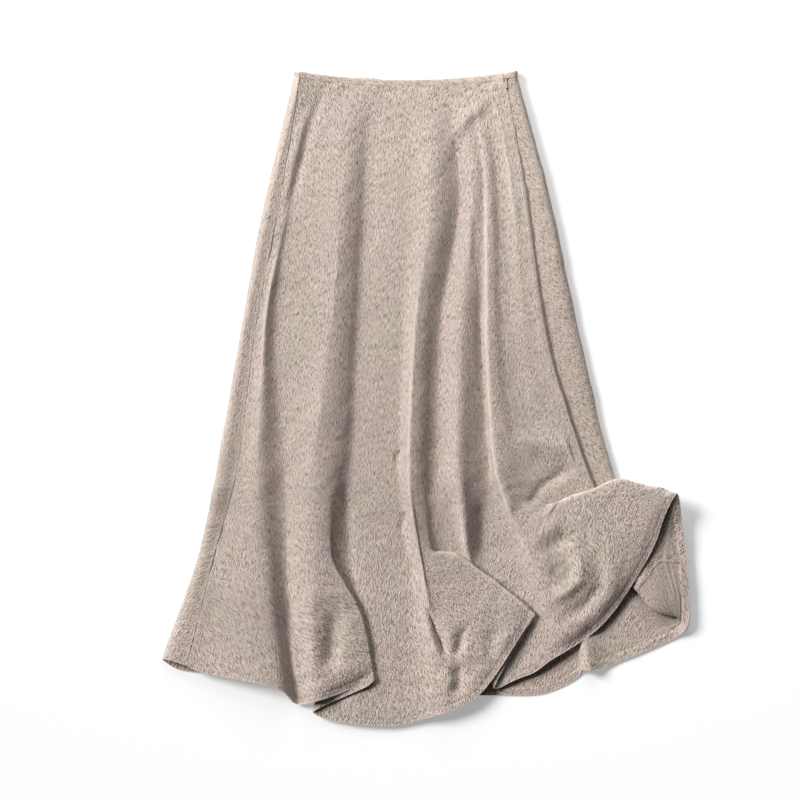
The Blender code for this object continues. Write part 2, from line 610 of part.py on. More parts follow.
def main():
    """Builds the skirt in its collections."""
    for ob in list(bpy.data.objects):
        bpy.data.objects.remove(ob, do_unlink=True)
    model = bpy.data.collections.new("a_line_midi_skirt")
    cutters = bpy.data.collections.new("cutters")
    for collection in (model, cutters):
        bpy.context.scene.collection.children.link(collection)
    skirt = bpy.data.objects.new("skirt", None)
    model.objects.link(skirt)

    linen = finish("oatmeal_linen", (0.47, 0.38, 0.33), 0.9)
    inside = finish("oatmeal_linen_back", (0.45, 0.37, 0.31), 0.9)
    bound = finish("linen_binding", (0.46, 0.38, 0.33), 0.9)
    woven_tape = finish("zip_tape_cloth", (0.42, 0.35, 0.30), 0.8)
    metal = finish("zip_slider_metal", (0.50, 0.46, 0.42), 0.4, 0.6)
    painted = finish("zip_tab_enamel", (0.62, 0.54, 0.47), 0.45)

    shares = row_shares()
    front, back = front_grid(shares, FRONT_STEPS), back_grid(shares, BACK_STEPS)
    place(sheet_of("front_panel", front, CLOTH, linen), model, skirt)
    place(sheet_of("back_panel", back, CLOTH, inside), model, skirt)
    place(sheet_of("front_waist_binding", binding_grid(front[0], False), BINDING_WALL, bound), model, skirt)
    place(sheet_of("back_waist_binding", binding_grid(back[0], True), BINDING_WALL, bound), model, skirt)
    place(sheet_of("zip_tape", tape_grid(), TAPE_WALL, woven_tape), model, skirt)

    zip_head = bpy.data.objects.new("zip_head", None)
    zip_head.location = Vector((PIN_X, PIN_Y, PIN_Z)) * MM
    zip_head.rotation_euler = (0.0, 0.0, np.radians(ZIP_TILT))
    place(zip_head, model, skirt)
    make_zip_head(model, cutters, zip_head, metal, painted)


main()
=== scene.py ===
"""The looks of an A-line midi skirt in bias-cut linen, lying face up with its side zip closed.

The two panels are lofts: each has fold lines from the waist to the hem, and a smooth curve joins
the lines of one level into a row of cloth. Lengths in the tables are millimetres.
"""

import logging
import math
from collections.abc import Iterable, Mapping, Sequence
from dataclasses import dataclass, field
from enum import Enum
from typing import Any

import bpy
import numpy as np
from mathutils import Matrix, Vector


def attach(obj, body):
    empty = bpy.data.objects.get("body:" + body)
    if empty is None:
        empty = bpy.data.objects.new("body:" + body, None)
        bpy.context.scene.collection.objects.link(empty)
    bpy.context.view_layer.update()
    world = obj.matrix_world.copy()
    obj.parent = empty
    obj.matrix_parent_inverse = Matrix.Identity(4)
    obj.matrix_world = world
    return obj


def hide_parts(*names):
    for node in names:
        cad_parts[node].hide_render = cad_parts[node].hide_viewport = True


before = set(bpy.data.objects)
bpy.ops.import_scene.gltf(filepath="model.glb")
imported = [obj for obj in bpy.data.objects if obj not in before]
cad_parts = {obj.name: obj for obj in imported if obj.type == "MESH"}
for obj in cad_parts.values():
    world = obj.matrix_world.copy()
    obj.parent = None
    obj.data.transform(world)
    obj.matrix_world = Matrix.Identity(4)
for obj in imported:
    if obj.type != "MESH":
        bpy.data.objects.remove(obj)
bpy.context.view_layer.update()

log = logging.getLogger("a_line_midi_skirt")

MM = 0.001
BODY = "skirt"

Grid = np.ndarray
Stations = list[tuple[float, tuple[float, float, float]]]


# ---- Levels of the cloth ---------------------------------------------------------------------


class Level:
    """The share of the way down a panel at which each named level of its fold lines lies."""

    WAIST = 0.0
    HIP = 0.18
    THIGH = 0.36
    KNEE = 0.54
    CALF = 0.74
    HEM = 1.0
    VALLEY = 0.66
    CREST = 0.80
    TURN = 0.02
    MOUTH = 0.022
    ZIP_END = 0.215


@dataclass(frozen=True)
class FoldLine:
    """One fold line of a panel: where it crosses each level, and its height on the surface."""

    name: str
    hip_x: float
    thigh_x: float
    knee_x: float
    calf_x: float
    hem_x: float
    hem_y: float
    hip_z: float
    knee_z: float
    hem_z: float


@dataclass(frozen=True)
class FlapTurn:
    """Where a line turns back under the flap and over its crest, and the height of the flap's face."""

    valley_x: float
    valley_y: float
    crest_x: float
    crest_y: float
    face_z: float | None


@dataclass(frozen=True)
class Turn:
    """A point that a line passes at a share of the way down."""

    at: float
    x: float
    y: float
    z: float

    @property
    def point(self) -> tuple[float, float, float]:
        """The point itself."""
        return self.x, self.y, self.z


@dataclass(frozen=True)
class Lap:
    """Where the lower layer of a hidden lap of the back turns back at each level."""

    hip_x: float
    thigh_x: float
    knee_x: float
    calf_x: float
    hem_x: float
    hem_y: float


@dataclass(frozen=True)
class LapFold:
    """One fold of a hidden lap, from its lower layer to its upper one."""

    shift: float
    overlap: float
    spread: float
    height: float


CLOTH_WALL = 1.2
FLAT_Z = CLOTH_WALL / 2

# Fold lines of the front, from the left seam to the zipped one: x at hip, thigh, knee, calf and hem,
# y at the hem, and z at hip, knee and hem.
FRONT_LINES = (
    FoldLine("left_seam", -198, -233, -258, -288, -327, -367, 12.5, 12.5, 12.5),
    FoldLine("seam_foot", -192, -227, -249, -279, -314, -374, 13.5, 14.5, 13),
    FoldLine("side_ridge", -186, -220, -228, -219, -197, -400, 12.5, 23.5, 25),
    FoldLine("side_trough", -180, -210, -195, -193, -176, -420, 10.5, 7.5, 6.5),
    FoldLine("low_ridge", -155, -168, -177, -171, -152, -416, 13, 14.5, 21),
    FoldLine("left_crest", -118, -129, -153, -150, -106, -401, 20, 27, 20),
    FoldLine("left_edge", -107, -118, -131, -129, -69, -384, 19, 24, 14),
    FoldLine("left_return", -95, -105, -117, -134, -76, -393, 14, 16.5, 12.4),
    FoldLine("left_valley", -83, -93, -104, -130, -152, -431, 7.5, 8, 9.8),
    FoldLine("left_rise", -71, -80, -92, -99, -141, -439, 7.5, 7.5, 7),
    FoldLine("centre_left", -62, -64, -66, -66, -98, -447, 9.5, 9, 8),
    FoldLine("centre", -42, -44, -45, -42, -48, -450, 12, 9, 8),
    FoldLine("mid_foot", -19, -29, -35, -17, -8, -442, 14, 9.5, 9),
    FoldLine("mid_crest", 7, -15, -23, -3, 24, -432, 22, 27, 17),
    FoldLine("lap_upper", 16, -9, -16, 10, 71, -410, 21.5, 26, 18),
    FoldLine("lap_lower", 24, -1, -9, 32, 138, -315, 19, 23, 20),
    FoldLine("lap_edge", 32, 6, -2, 78, 151, -295, 15, 18, 17.4),
    FoldLine("lap_return", 39, 13, 4, 62, 136, -324, 11, 11.5, 13.4),
    FoldLine("mid_valley", 47, 20, 15, 48, 96, -398, 7.5, 8, 9.6),
    FoldLine("twin_foot", 54, 32, 29, 54, 106, -396, 9, 13, 6.5),
    FoldLine("twin_crest", 64, 49, 43, 59, 115, -391, 13, 24, 8),
    FoldLine("twin_side", 72, 65, 64, 68, 131, -384, 12.5, 13.5, 8),
    FoldLine("deep_valley", 77, 75, 86, 82, 151, -376, 11, 2.5, 9),
    FoldLine("drop_return", 80, 80, 91, 130, 172, -360, 10.5, 6, 12),
    FoldLine("drop_edge", 84, 84, 97, 138, 197, -345, 13, 18, 17),
    FoldLine("flap_a", 90, 94, 114, 150, 218, -332, 13, 17, 18),
    FoldLine("flap_b", 101, 107, 136, 170, 243, -312, 8, 11, 18),
    FoldLine("flap_c", 111, 122, 158, 200, 269, -281.5, 9, 8.5, 18),
    FoldLine("flap_d", 119, 136, 178, 231, 291, -245, 14, 8.5, 18),
    FoldLine("flap_e", 126, 147, 195, 265, 315, -201, 14, 9.5, 20),
    FoldLine("flap_f", 131, 155, 209, 298, 329, -160, 14.5, 12, 27),
    FoldLine("flap_tip", 135, 160, 217, 290, 345, -131, 15, 13, 34),
    FoldLine("inner_front", 138, 164, 222, 298, 353, -170, 14, 12.5, 16),
    FoldLine("right_seam", 140, 168, 225, 305, 359, -218, 11, 6.5, 11),
)

# The valley and the crest that the cloth of the turned-up flap passes.
FLAP_TURNS = {
    "flap_c": FlapTurn(190, -192, 200, -133, 26),
    "flap_d": FlapTurn(213, -201, 231, -123, 26),
    "flap_e": FlapTurn(238, -212, 265, -111, 26.5),
    "flap_f": FlapTurn(258, -225, 305, -120, 30),
    "flap_tip": FlapTurn(275, -236, 328, -126, 34.5),
    "inner_front": FlapTurn(281, -249, 326, -184, None),
    "right_seam": FlapTurn(286, -258, 322, -218, None),
}

# The laps beside the middle fold, and the flap where it swells from the drop edge.
LAP_TURNS = {
    "left_edge": (Turn(0.74, -129, -211, 19.5), Turn(0.87, -86, -299, 16.5)),
    "left_return": (Turn(0.74, -131, -214, 15.5), Turn(0.87, -97, -304, 13.6)),
    "flap_a": (Turn(0.64, 133, -142, 10.5), Turn(0.68, 139, -160, 15.5), Turn(0.80, 161, -221, 21)),
    "flap_b": (Turn(0.64, 160, -140, 7.5), Turn(0.68, 166, -146, 11), Turn(0.78, 169, -146, 15),
                   Turn(0.82, 174, -154, 23), Turn(0.90, 208, -228, 23)),
    "lap_upper": (Turn(0.66, -6, -204, 22), Turn(0.80, 10, -275, 19)),
    "lap_lower": (Turn(0.66, 3, -212, 20), Turn(0.80, 60, -249, 19.5)),
    "lap_edge": (Turn(0.64, 12, -211, 17), Turn(0.70, 34, -211, 17.5), Turn(0.80, 78, -236, 16)),
    "lap_return": (Turn(0.64, 8, -208, 14), Turn(0.70, 24, -216, 14), Turn(0.80, 66, -250, 12.6)),
    "mid_valley": (Turn(0.64, 19, -206, 8.5), Turn(0.70, 28, -220, 8), Turn(0.80, 50, -282, 9)),
    "twin_foot": (Turn(0.66, 46, -186, 9), Turn(0.80, 62, -262, 6.5)),
    "twin_crest": (Turn(0.66, 53, -188, 20), Turn(0.80, 70, -258, 7.5)),
    "twin_side": (Turn(0.66, 64, -184, 12), Turn(0.80, 83, -254, 7)),
}

# Fold lines of the back in sight or at its sides, from the left seam round to the zipped one.
BACK_LEFT_LINES = (
    FoldLine("left_strip", -211, -249, -279, -303, -350, -360, 15, 15, 12),
    FoldLine("left_roll", -218, -253, -286, -309, -361.4, -358, 8, 8, 6),
    FoldLine("left_under", -212, -247, -280, -303, -344, -370.5, FLAT_Z, FLAT_Z, FLAT_Z),
    FoldLine("left_flat", -198, -231, -265, -290, -324, -375, FLAT_Z, FLAT_Z, FLAT_Z),
)
BACK_RIGHT_LINES = (
    FoldLine("right_inner", 70, 92, 110, 105, 100, -408, FLAT_Z, FLAT_Z, FLAT_Z),
    FoldLine("right_middle", 90, 120, 145, 155, 165, -405, FLAT_Z, FLAT_Z, FLAT_Z),
    FoldLine("tail_in", 104, 138, 170, 205, 214, -380, FLAT_Z, FLAT_Z, FLAT_Z),
    FoldLine("tail_edge", 108, 142, 175, 207, 217, -372, FLAT_Z, FLAT_Z, 9),
    FoldLine("tail_crest", 112, 147, 180, 213, 224, -374, FLAT_Z, FLAT_Z, 16),
    FoldLine("tail_foot", 120, 156, 190, 232, 250, -368, FLAT_Z, FLAT_Z, 4),
    FoldLine("right_flat", 138, 176, 215, 265, 296, -350, FLAT_Z, FLAT_Z, 2),
    FoldLine("right_under", 164, 204, 250, 318, 345, -328, FLAT_Z, FLAT_Z, 3),
    FoldLine("right_roll", 170, 210, 257, 334, 360, -314, 8, 6.5, 12),
    FoldLine("right_strip", 165, 203, 251, 323, 362, -268, 14, 9, 12),
)
BACK_TURNS = {
    "tail_in": (Turn(0.74, 203, -213, FLAT_Z), Turn(0.90, 208, -318, FLAT_Z)),
    "tail_edge": (Turn(0.74, 207, -213, FLAT_Z), Turn(0.90, 212, -314, 4)),
    "tail_crest": (Turn(0.74, 213, -214, FLAT_Z), Turn(0.90, 218, -316, 8)),
    "tail_foot": (Turn(0.74, 232, -211, FLAT_Z), Turn(0.90, 243, -312, 2)),
    "right_under": (Turn(Level.VALLEY, 330, -288, FLAT_Z), Turn(Level.CREST, 338, -308, 1.2)),
    "right_roll": (Turn(Level.VALLEY, 347, -300, 5), Turn(Level.CREST, 354, -309, 7)),
}
BACK_FLAP = {"right_strip": FlapTurn(316, -292, 343, -280, None)}

# Hidden laps that take up the back's flare.
BACK_LAPS = (
    Lap(-128, -148, -166, -180, -195, -384),
    Lap(-48, -52, -56, -58, -60, -404),
    Lap(22, 24, 24, 24, 34, -408),
)
LAP_FOLDS = (
    LapFold(-7, 0, 0, 0),
    LapFold(0, 0, 0, 1.3),
    LapFold(0, 1, 0, 3.3),
    LapFold(6, 1, 0, 4.6),
    LapFold(9, 0, 1, 4.6),
    LapFold(18, 0, 1, 0),
)
LAP_OVER = (
    (Level.WAIST, -14), (Level.KNEE, -9), (Level.VALLEY - Level.TURN, -8), (Level.VALLEY, 0),
    (Level.VALLEY + Level.TURN, 14), (Level.HEM, 68),
)
LAP_RISE = ((Level.WAIST, 0.3), (Level.HIP, 0.4), (Level.KNEE, 1.0), (Level.HEM, 1.0))


# ---- Curves -----------------------------------------------------------------------------------


TINY = 1e-9         # no vector is taken as shorter
CLOSEST = 0.05      # the least distance between two fold lines that a row tells apart
HALF_WAY = 0.5      # a turn starts no farther back
SOFTENING = 0.5     # the share of a value that its neighbours take over at each blur
TABLE = 128         # draws each way in a table of wandering values


def unit(vectors: Grid) -> Grid:
    """The vectors, one long."""
    return vectors / np.maximum(np.linalg.norm(vectors, axis=-1, keepdims=True), TINY)


def cubic(u: Grid | float, width: Grid, start: Grid, end: Grid, leave: Grid, arrive: Grid) -> Grid:
    """The point of a cubic between two points.

    Args:
        u: the share of the way, from 0 to 1.
        width: the length of the way, in the slopes' unit.
        start: the point at 0.
        end: the point at 1.
        leave: the slope at 0.
        arrive: the slope at 1.

    Returns:
        The point.
    """
    return (
        (1 + 2 * u) * (1 - u) ** 2 * start
        + u * (1 - u) ** 2 * width * leave
        + u * u * (3 - 2 * u) * end
        + u * u * (u - 1) * width * arrive
    )


def curve_through(places: Sequence[float], values: Sequence[Sequence[float]], at: Grid) -> Grid:
    """A smooth curve that never goes beyond the values it passes.

    Args:
        places: the share at which each value holds, rising.
        values: the value, or the point, at each place.
        at: the shares at which the curve is read.

    Returns:
        The curve's value at each share, one row for each.
    """
    x, y = np.asarray(places, float), np.asarray(values, float)
    step = np.diff(x)[:, None]
    rise = np.diff(y, axis=0) / step
    slopes = np.empty_like(y)
    slopes[0], slopes[-1] = rise[0], rise[-1]
    onward = rise[:-1] * rise[1:] > 0
    first, second = step[:-1] + 2 * step[1:], 2 * step[:-1] + step[1:]
    slowness = first / np.where(onward, rise[:-1], 1.0) + second / np.where(onward, rise[1:], 1.0)
    slopes[1:-1] = np.where(onward, (first + second) / np.where(onward, slowness, 1.0), 0.0)
    i = np.clip(np.searchsorted(x, at, side="right") - 1, 0, len(x) - 2)
    width = (x[i + 1] - x[i])[:, None]
    u = (np.asarray(at) - x[i])[:, None] / width
    return cubic(u, width, y[i], y[i + 1], slopes[i], slopes[i + 1])


def rows_through(courses: Grid, steps: Sequence[int]) -> Grid:
    """Joins fold lines into rows of cloth with centripetal curves.

    Args:
        courses: the fold lines' points, as lines by rows by 3.
        steps: how many columns each span between two lines gets.

    Returns:
        The cloth's points, as rows by columns by 3.
    """
    ends = np.concatenate([2 * courses[:1] - courses[1:2], courses, 2 * courses[-1:] - courses[-2:-1]])
    gaps = np.maximum(np.linalg.norm(np.diff(ends, axis=0), axis=2), CLOSEST) ** 0.5
    columns = []
    for span, count in enumerate(steps):
        a, b, c, d = ends[span:span + 4]
        before, here, after = gaps[span:span + 3, :, None]
        leave = (b - a) / before - (c - a) / (before + here) + (c - b) / here
        arrive = (c - b) / here - (d - b) / (here + after) + (d - c) / after
        columns += [cubic(u, here, b, c, leave, arrive) for u in np.arange(count) / count]
    columns.append(ends[-2])
    return np.stack(columns, axis=1)


def legs_of(grid: Grid, axis: int) -> tuple[Grid, Grid]:
    """The directions in which a grid's lines reach and leave each point along an axis.

    Args:
        grid: the points, as rows by columns by 3.
        axis: 0 for down the rows, 1 for along them.

    Returns:
        The two directions at each point.
    """
    legs = unit(np.diff(grid, axis=axis))
    reach = np.concatenate([legs.take([0], axis=axis), legs], axis=axis)
    leave = np.concatenate([legs, legs.take([-1], axis=axis)], axis=axis)
    return reach, leave


def normals_of(grid: Grid) -> Grid:
    """The unit normals of a grid's points, half way round where the cloth folds."""
    corners = [unit(np.cross(down, across)) for down in legs_of(grid, 0) for across in legs_of(grid, 1)]
    return unit(sum(corners))


def lengths_along(grid: Grid, axis: int) -> Grid:
    """The cloth's length from the grid's first line to each point, along an axis.

    Args:
        grid: the points, as rows by columns by 3.
        axis: 0 for down the rows, 1 for along them.

    Returns:
        One length for each point.
    """
    legs = np.linalg.norm(np.diff(grid, axis=axis), axis=2)
    start = np.zeros_like(legs.take([0], axis=axis))
    return np.concatenate([start, np.cumsum(legs, axis=axis)], axis=axis)


def blurred(values: Grid, times: int) -> Grid:
    """The values of a grid, softened by averaging neighbours a few times.

    Args:
        values: one value for each point.
        times: how often they are softened.

    Returns:
        The softened values.
    """
    for _ in range(times):
        padded = np.pad(values, 1, mode="edge")
        ring = padded[:-2, 1:-1] + padded[2:, 1:-1] + padded[1:-1, :-2] + padded[1:-1, 2:]
        values = (1 - SOFTENING) * values + SOFTENING / 4 * ring
    return values


def smooth_step(values: Grid, low: float, high: float) -> Grid:
    """0 below low, 1 above high and a soft rise between."""
    share = np.clip((values - low) / (high - low), 0, 1)
    return share * share * (3 - 2 * share)


def wandering(x: Grid, y: Grid, seed: int) -> Grid:
    """Smooth irregular values from -1 to 1 over a plane, one hill or hollow to each unit.

    Args:
        x: the points' places on one axis.
        y: their places on the other.
        seed: the draw.

    Returns:
        One value for each point.
    """
    table = np.random.default_rng(seed).uniform(-1, 1, (TABLE, TABLE))
    left, low = np.floor(x).astype(int), np.floor(y).astype(int)
    across, up = smooth_step(x - left, 0, 1), smooth_step(y - low, 0, 1)
    a, b = table[left % TABLE, low % TABLE], table[(left + 1) % TABLE, low % TABLE]
    c, d = table[left % TABLE, (low + 1) % TABLE], table[(left + 1) % TABLE, (low + 1) % TABLE]
    return (a * (1 - across) + b * across) * (1 - up) + (c * (1 - across) + d * across) * up


def mix(a: Sequence[float], b: Sequence[float], share: float) -> tuple[float, ...]:
    """The point a share of the way from a to b."""
    return tuple(p + (q - p) * share for p, q in zip(a, b))


def short_of(start: Sequence[float], end: Sequence[float], distance: float) -> tuple[float, ...]:
    """The point short of end by a distance, on the way from start."""
    length = math.dist(start[:2], end[:2])
    return mix(start, end, max(1 - distance / length, HALF_WAY))


# ---- The panels' forms -------------------------------------------------------------------------


@dataclass(frozen=True)
class Pattern:
    """The common sizes of the two panels: their levels, their top edge and the zip's mouth."""

    hip_y: float = 280.0
    thigh_y: float = 94.0
    knee_y: float = -98.0
    calf_share: float = 0.42
    waist_left: float = -172.0
    waist_right: float = 110.0
    waist_middle: float = -26.0
    waist_y: float = 429.0
    waist_dip: float = 12.0
    waist_half: float = 153.0
    waist_low: float = 5.0
    waist_high: float = 15.0
    under_z: float = 6.5
    valley_z: float = 10.0
    inside_z: float = 14.0
    crest_z: float = 24.0
    roll: float = 13.0
    roll_share: float = 0.4
    crest_fall: float = 7.0
    rising_fall: float = 5.0
    face_swell: float = 1.0
    face_level: float = 0.1
    face_share: float = 0.6
    mouth_half: float = 3.2
    mouth_reach: float = 14.0

    def waist_point(self, x: float) -> tuple[float, float, float]:
        """A point of a panel's top edge.

        Args:
            x: its place across.

        Returns:
            The point.
        """
        side = abs(2 * (x - self.waist_left) / (self.waist_right - self.waist_left) - 1)
        y = self.waist_y + self.waist_dip * ((x - self.waist_middle) / self.waist_half) ** 2
        return x, y, self.waist_low + (self.waist_high - self.waist_low) * side**3

    def mouth(self, shares: Grid, from_seam: Grid | float = 0.0) -> Grid:
        """How far the cloth stands back from the zipped seam at each row, less the farther it is."""
        open_share = np.clip(1 - shares / Level.MOUTH, 0, 1)
        return self.mouth_half * open_share * np.clip(1 - np.asarray(from_seam) / self.mouth_reach, 0, 1)

    def flap_course(self, knee: Sequence[float], hem: Sequence[float], flap: FlapTurn) -> Stations:
        """The stations of a line that runs under the flap, up inside it and down its face.

        Args:
            knee: the line's point at the knee.
            hem: its point at the hem.
            flap: where it turns.

        Returns:
            The share of the way down of each station, and its point.
        """
        valley = (flap.valley_x, flap.valley_y, self.valley_z)
        crest = (flap.crest_x, flap.crest_y, max(self.crest_z, hem[2] - self.crest_fall))
        under = short_of(knee, valley, self.roll)
        roll = min(self.roll, self.roll_share * math.dist(crest[:2], valley[:2]))
        inside = short_of(crest, valley, roll)
        course = [(Level.VALLEY - Level.TURN, (*under[:2], self.under_z)), (Level.VALLEY, valley)]
        course.append((Level.VALLEY + Level.TURN, (*inside[:2], self.inside_z)))
        if flap.face_z is None:
            course.append((Level.CREST, (*crest[:2], (self.inside_z + hem[2]) / 2)))
            return course
        rising = short_of(valley, crest, roll)
        over = short_of(hem, crest, min(roll, self.roll_share * math.dist(hem[:2], crest[:2])))
        swell = (crest[2] + flap.face_z) / 2 + self.face_swell
        face = mix(crest, hem, self.face_share)
        course.append((Level.CREST - Level.TURN, (*rising[:2], crest[2] - self.rising_fall)))
        course.append((Level.CREST, crest))
        course.append((Level.CREST + Level.TURN, (*over[:2], swell)))
        course.append((Level.CREST + self.face_level, (*face[:2], flap.face_z)))
        return course

    def course(
        self,
        line: FoldLine,
        waist: Sequence[float],
        shares: Grid,
        turns: Sequence[Turn] | None = None,
        flap: FlapTurn | None = None,
    ) -> Grid:
        """The points of a fold line.

        Args:
            line: the line's places at the levels.
            waist: its point on the waist edge.
            shares: the shares of the way down at which it is read.
            turns: points that it passes between the knee and the hem instead of the calf level.
            flap: how it turns through the flap, if it does.

        Returns:
            One point for each share.
        """
        knee = (line.knee_x, self.knee_y, line.knee_z)
        hem = (line.hem_x, line.hem_y, line.hem_z)
        thigh = (line.thigh_x, self.thigh_y, (line.hip_z + line.knee_z) / 2)
        stations = [
            (Level.WAIST, tuple(waist)), (Level.HIP, (line.hip_x, self.hip_y, line.hip_z)),
            (Level.THIGH, thigh), (Level.KNEE, knee),
        ]
        if flap:
            stations += self.flap_course(knee, hem, flap)
        elif turns:
            stations += [(turn.at, turn.point) for turn in turns]
        else:
            calf_y = self.knee_y + self.calf_share * (line.hem_y - self.knee_y)
            stations.append((Level.CALF, (line.calf_x, calf_y, (line.knee_z + line.hem_z) / 2)))
        stations.append((Level.HEM, hem))
        return curve_through([at for at, _ in stations], [point for _, point in stations], shares)


@dataclass(frozen=True)
class FrontForm:
    """The middle surface of the front panel's cloth."""

    pattern: Pattern
    column_width: float = 7.8
    outside: float = 1.0

    @property
    def names(self) -> list[str]:
        """The names of its fold lines."""
        return [line.name for line in FRONT_LINES]

    def courses(self, shares: Grid) -> Grid:
        """The fold lines' points.

        Args:
            shares: the shares of the way down at which they are read.

        Returns:
            The points, as lines by rows by 3.
        """
        cut = self.pattern
        first, last = FRONT_LINES[0], FRONT_LINES[-1]
        found = []
        for line in FRONT_LINES:
            across = (line.hip_x - first.hip_x) / (last.hip_x - first.hip_x)
            waist = cut.waist_point(cut.waist_left + across * (cut.waist_right - cut.waist_left))
            turns, flap = LAP_TURNS.get(line.name), FLAP_TURNS.get(line.name)
            found.append(cut.course(line, waist, shares, turns, flap))
        courses = np.array(found)
        courses[:, :, 0] -= cut.mouth(shares, courses[-1, :, 0] - courses[:, :, 0])
        return courses


@dataclass(frozen=True)
class BackForm:
    """The middle surface of the back panel's cloth, from the left seam round under to the zipped one."""

    pattern: Pattern
    front: FrontForm
    seam_gap: float = 0.7
    waist_left: float = -179.0
    waist_right: float = 126.5
    column_width: float = 9.0
    outside: float = -1.0

    @property
    def names(self) -> list[str]:
        """The names of its fold lines, from one seam's edge round to the other's."""
        laps = [f"lap_{lap}_{fold}" for lap in range(len(BACK_LAPS)) for fold in range(len(LAP_FOLDS))]
        left, right = ([line.name for line in lines] for lines in (BACK_LEFT_LINES, BACK_RIGHT_LINES))
        return ["left_seam", *left, *laps, *right, "right_seam"]

    def waist(self, hip_x: float, z: float) -> tuple[float, float, float]:
        """The point of the back's top edge above a point of its hip level.

        Args:
            hip_x: the hip point's place across.
            z: the height of the edge there.

        Returns:
            The point.
        """
        left, right = BACK_LEFT_LINES[1].hip_x, BACK_RIGHT_LINES[-2].hip_x
        across = (hip_x - left) / (right - left)
        x, y, _ = self.pattern.waist_point(self.waist_left + across * (self.waist_right - self.waist_left))
        return x, y, z

    def lap(self, lap: Lap, shares: Grid) -> list[Grid]:
        """The fold lines of one hidden lap, from its lower layer to its upper one.

        Args:
            lap: where the lap turns back.
            shares: the shares of the way down.

        Returns:
            The points of each fold line.
        """
        line = FoldLine(
            "", lap.hip_x, lap.thigh_x, lap.knee_x, lap.calf_x, lap.hem_x, lap.hem_y, FLAT_Z, FLAT_Z, FLAT_Z
        )
        edge = self.pattern.course(line, self.waist(lap.hip_x, FLAT_Z), shares)
        over, rise = (
            curve_through([at for at, _ in table], [(value,) for _, value in table], shares)[:, 0]
            for table in (LAP_OVER, LAP_RISE)
        )
        found = []
        for fold in LAP_FOLDS:
            moved = edge.copy()
            moved[:, 0] += fold.shift - fold.overlap * over + fold.spread * np.maximum(-over, 0.0)
            moved[:, 2] += fold.height * rise
            found.append(moved)
        return found

    def seam_edge(self, courses: Grid, side: int) -> Grid:
        """The edge of the back's cloth across a side seam of the front.

        Args:
            courses: the front's fold lines.
            side: 0 for the left seam, -1 for the zipped one.

        Returns:
            One point for each row.
        """
        edge, inner = courses[side], courses[1 if side == 0 else -2]
        along = unit(np.gradient(edge, axis=0))
        away = edge - inner
        away -= along * (away * along).sum(axis=1)[:, None]
        return edge + unit(away) * self.seam_gap

    def courses(self, shares: Grid) -> Grid:
        """The fold lines' points.

        Args:
            shares: the shares of the way down at which they are read.

        Returns:
            The points, as lines by rows by 3.
        """
        cut = self.pattern
        front = self.front.courses(shares)

        def plain(line: FoldLine) -> Grid:
            """The points of a line in sight."""
            turns, flap = BACK_TURNS.get(line.name), BACK_FLAP.get(line.name)
            return cut.course(line, self.waist(line.hip_x, line.hip_z), shares, turns, flap)

        found = [self.seam_edge(front, 0)] + [plain(line) for line in BACK_LEFT_LINES]
        for lap in BACK_LAPS:
            found += self.lap(lap, shares)
        found += [plain(line) for line in BACK_RIGHT_LINES] + [self.seam_edge(front, -1)]
        courses = np.array(found)
        seam = courses[-1, :, 0] + cut.mouth(shares)
        courses[-3:, :, 0] += cut.mouth(shares, courses[-3:, :, 0] - seam)
        courses[-1, :, 0] = seam + cut.mouth(shares)
        return courses


def sampled(courses: Grid, column_width: float, most: int = 16) -> tuple[Grid, list[int]]:
    """Rows of cloth through fold lines, and the column at which each line lies.

    Args:
        courses: the fold lines' points, as lines by rows by 3.
        column_width: the widest a column may be where its span is widest.
        most: the most columns of one span.

    Returns:
        The grid of points, and one column for each fold line.
    """
    widest = np.linalg.norm(np.diff(courses, axis=0), axis=2).max(axis=1)
    steps = [int(np.clip(math.ceil(width / column_width), 2, most)) for width in widest]
    return rows_through(courses, steps), [0, *np.cumsum(steps).tolist()]


def hem_rows(grid: Grid, distances: Sequence[float]) -> Grid:
    """Moves the last rows of a grid to fixed distances from the hem, along the cloth.

    Args:
        grid: the cloth's points.
        distances: how far each of the last rows lies from the hem, falling to 0.

    Returns:
        A grid with the same rows and columns, its other rows spread evenly above those.
    """
    down = lengths_along(grid, 0)
    left = down[-1] - down
    last = len(distances)
    moved = np.empty_like(grid)
    for j in range(grid.shape[1]):
        whole, old = left[0, j], left[-last, j]
        wanted = distances[0] + (left[:-last, j] - old) * (whole - distances[0]) / (whole - old)
        at = whole - np.concatenate([wanted, distances])
        for axis in range(3):
            moved[:, j, axis] = np.interp(at, down[:, j], grid[:, j, axis])
    return moved


# ---- Cloth ------------------------------------------------------------------------------------


class Fold(Enum):
    """The section of a crease."""

    SOFT = "soft"
    PINCHED = "pinched"


LEVEL_FADE = 0.02   # the share of the way down over which a crease fades past its levels
COLUMN_FADE = 2.0   # the columns over which it fades inside its lines
END_RISE = 0.25     # the share of its rise that it has at its ends
END_SHARE = 0.25    # and the share of its length over which it gains the rest
FAR = 1e9


# The washed crinkle's hills along the warp and the weft, and the share of its height that each adds.
CRINKLES = ((34, 11, 1.0), (11, 34, 0.75), (60, 26, 1.2), (26, 60, 1.0))
CRINKLE_START = (31.7, 17.3)


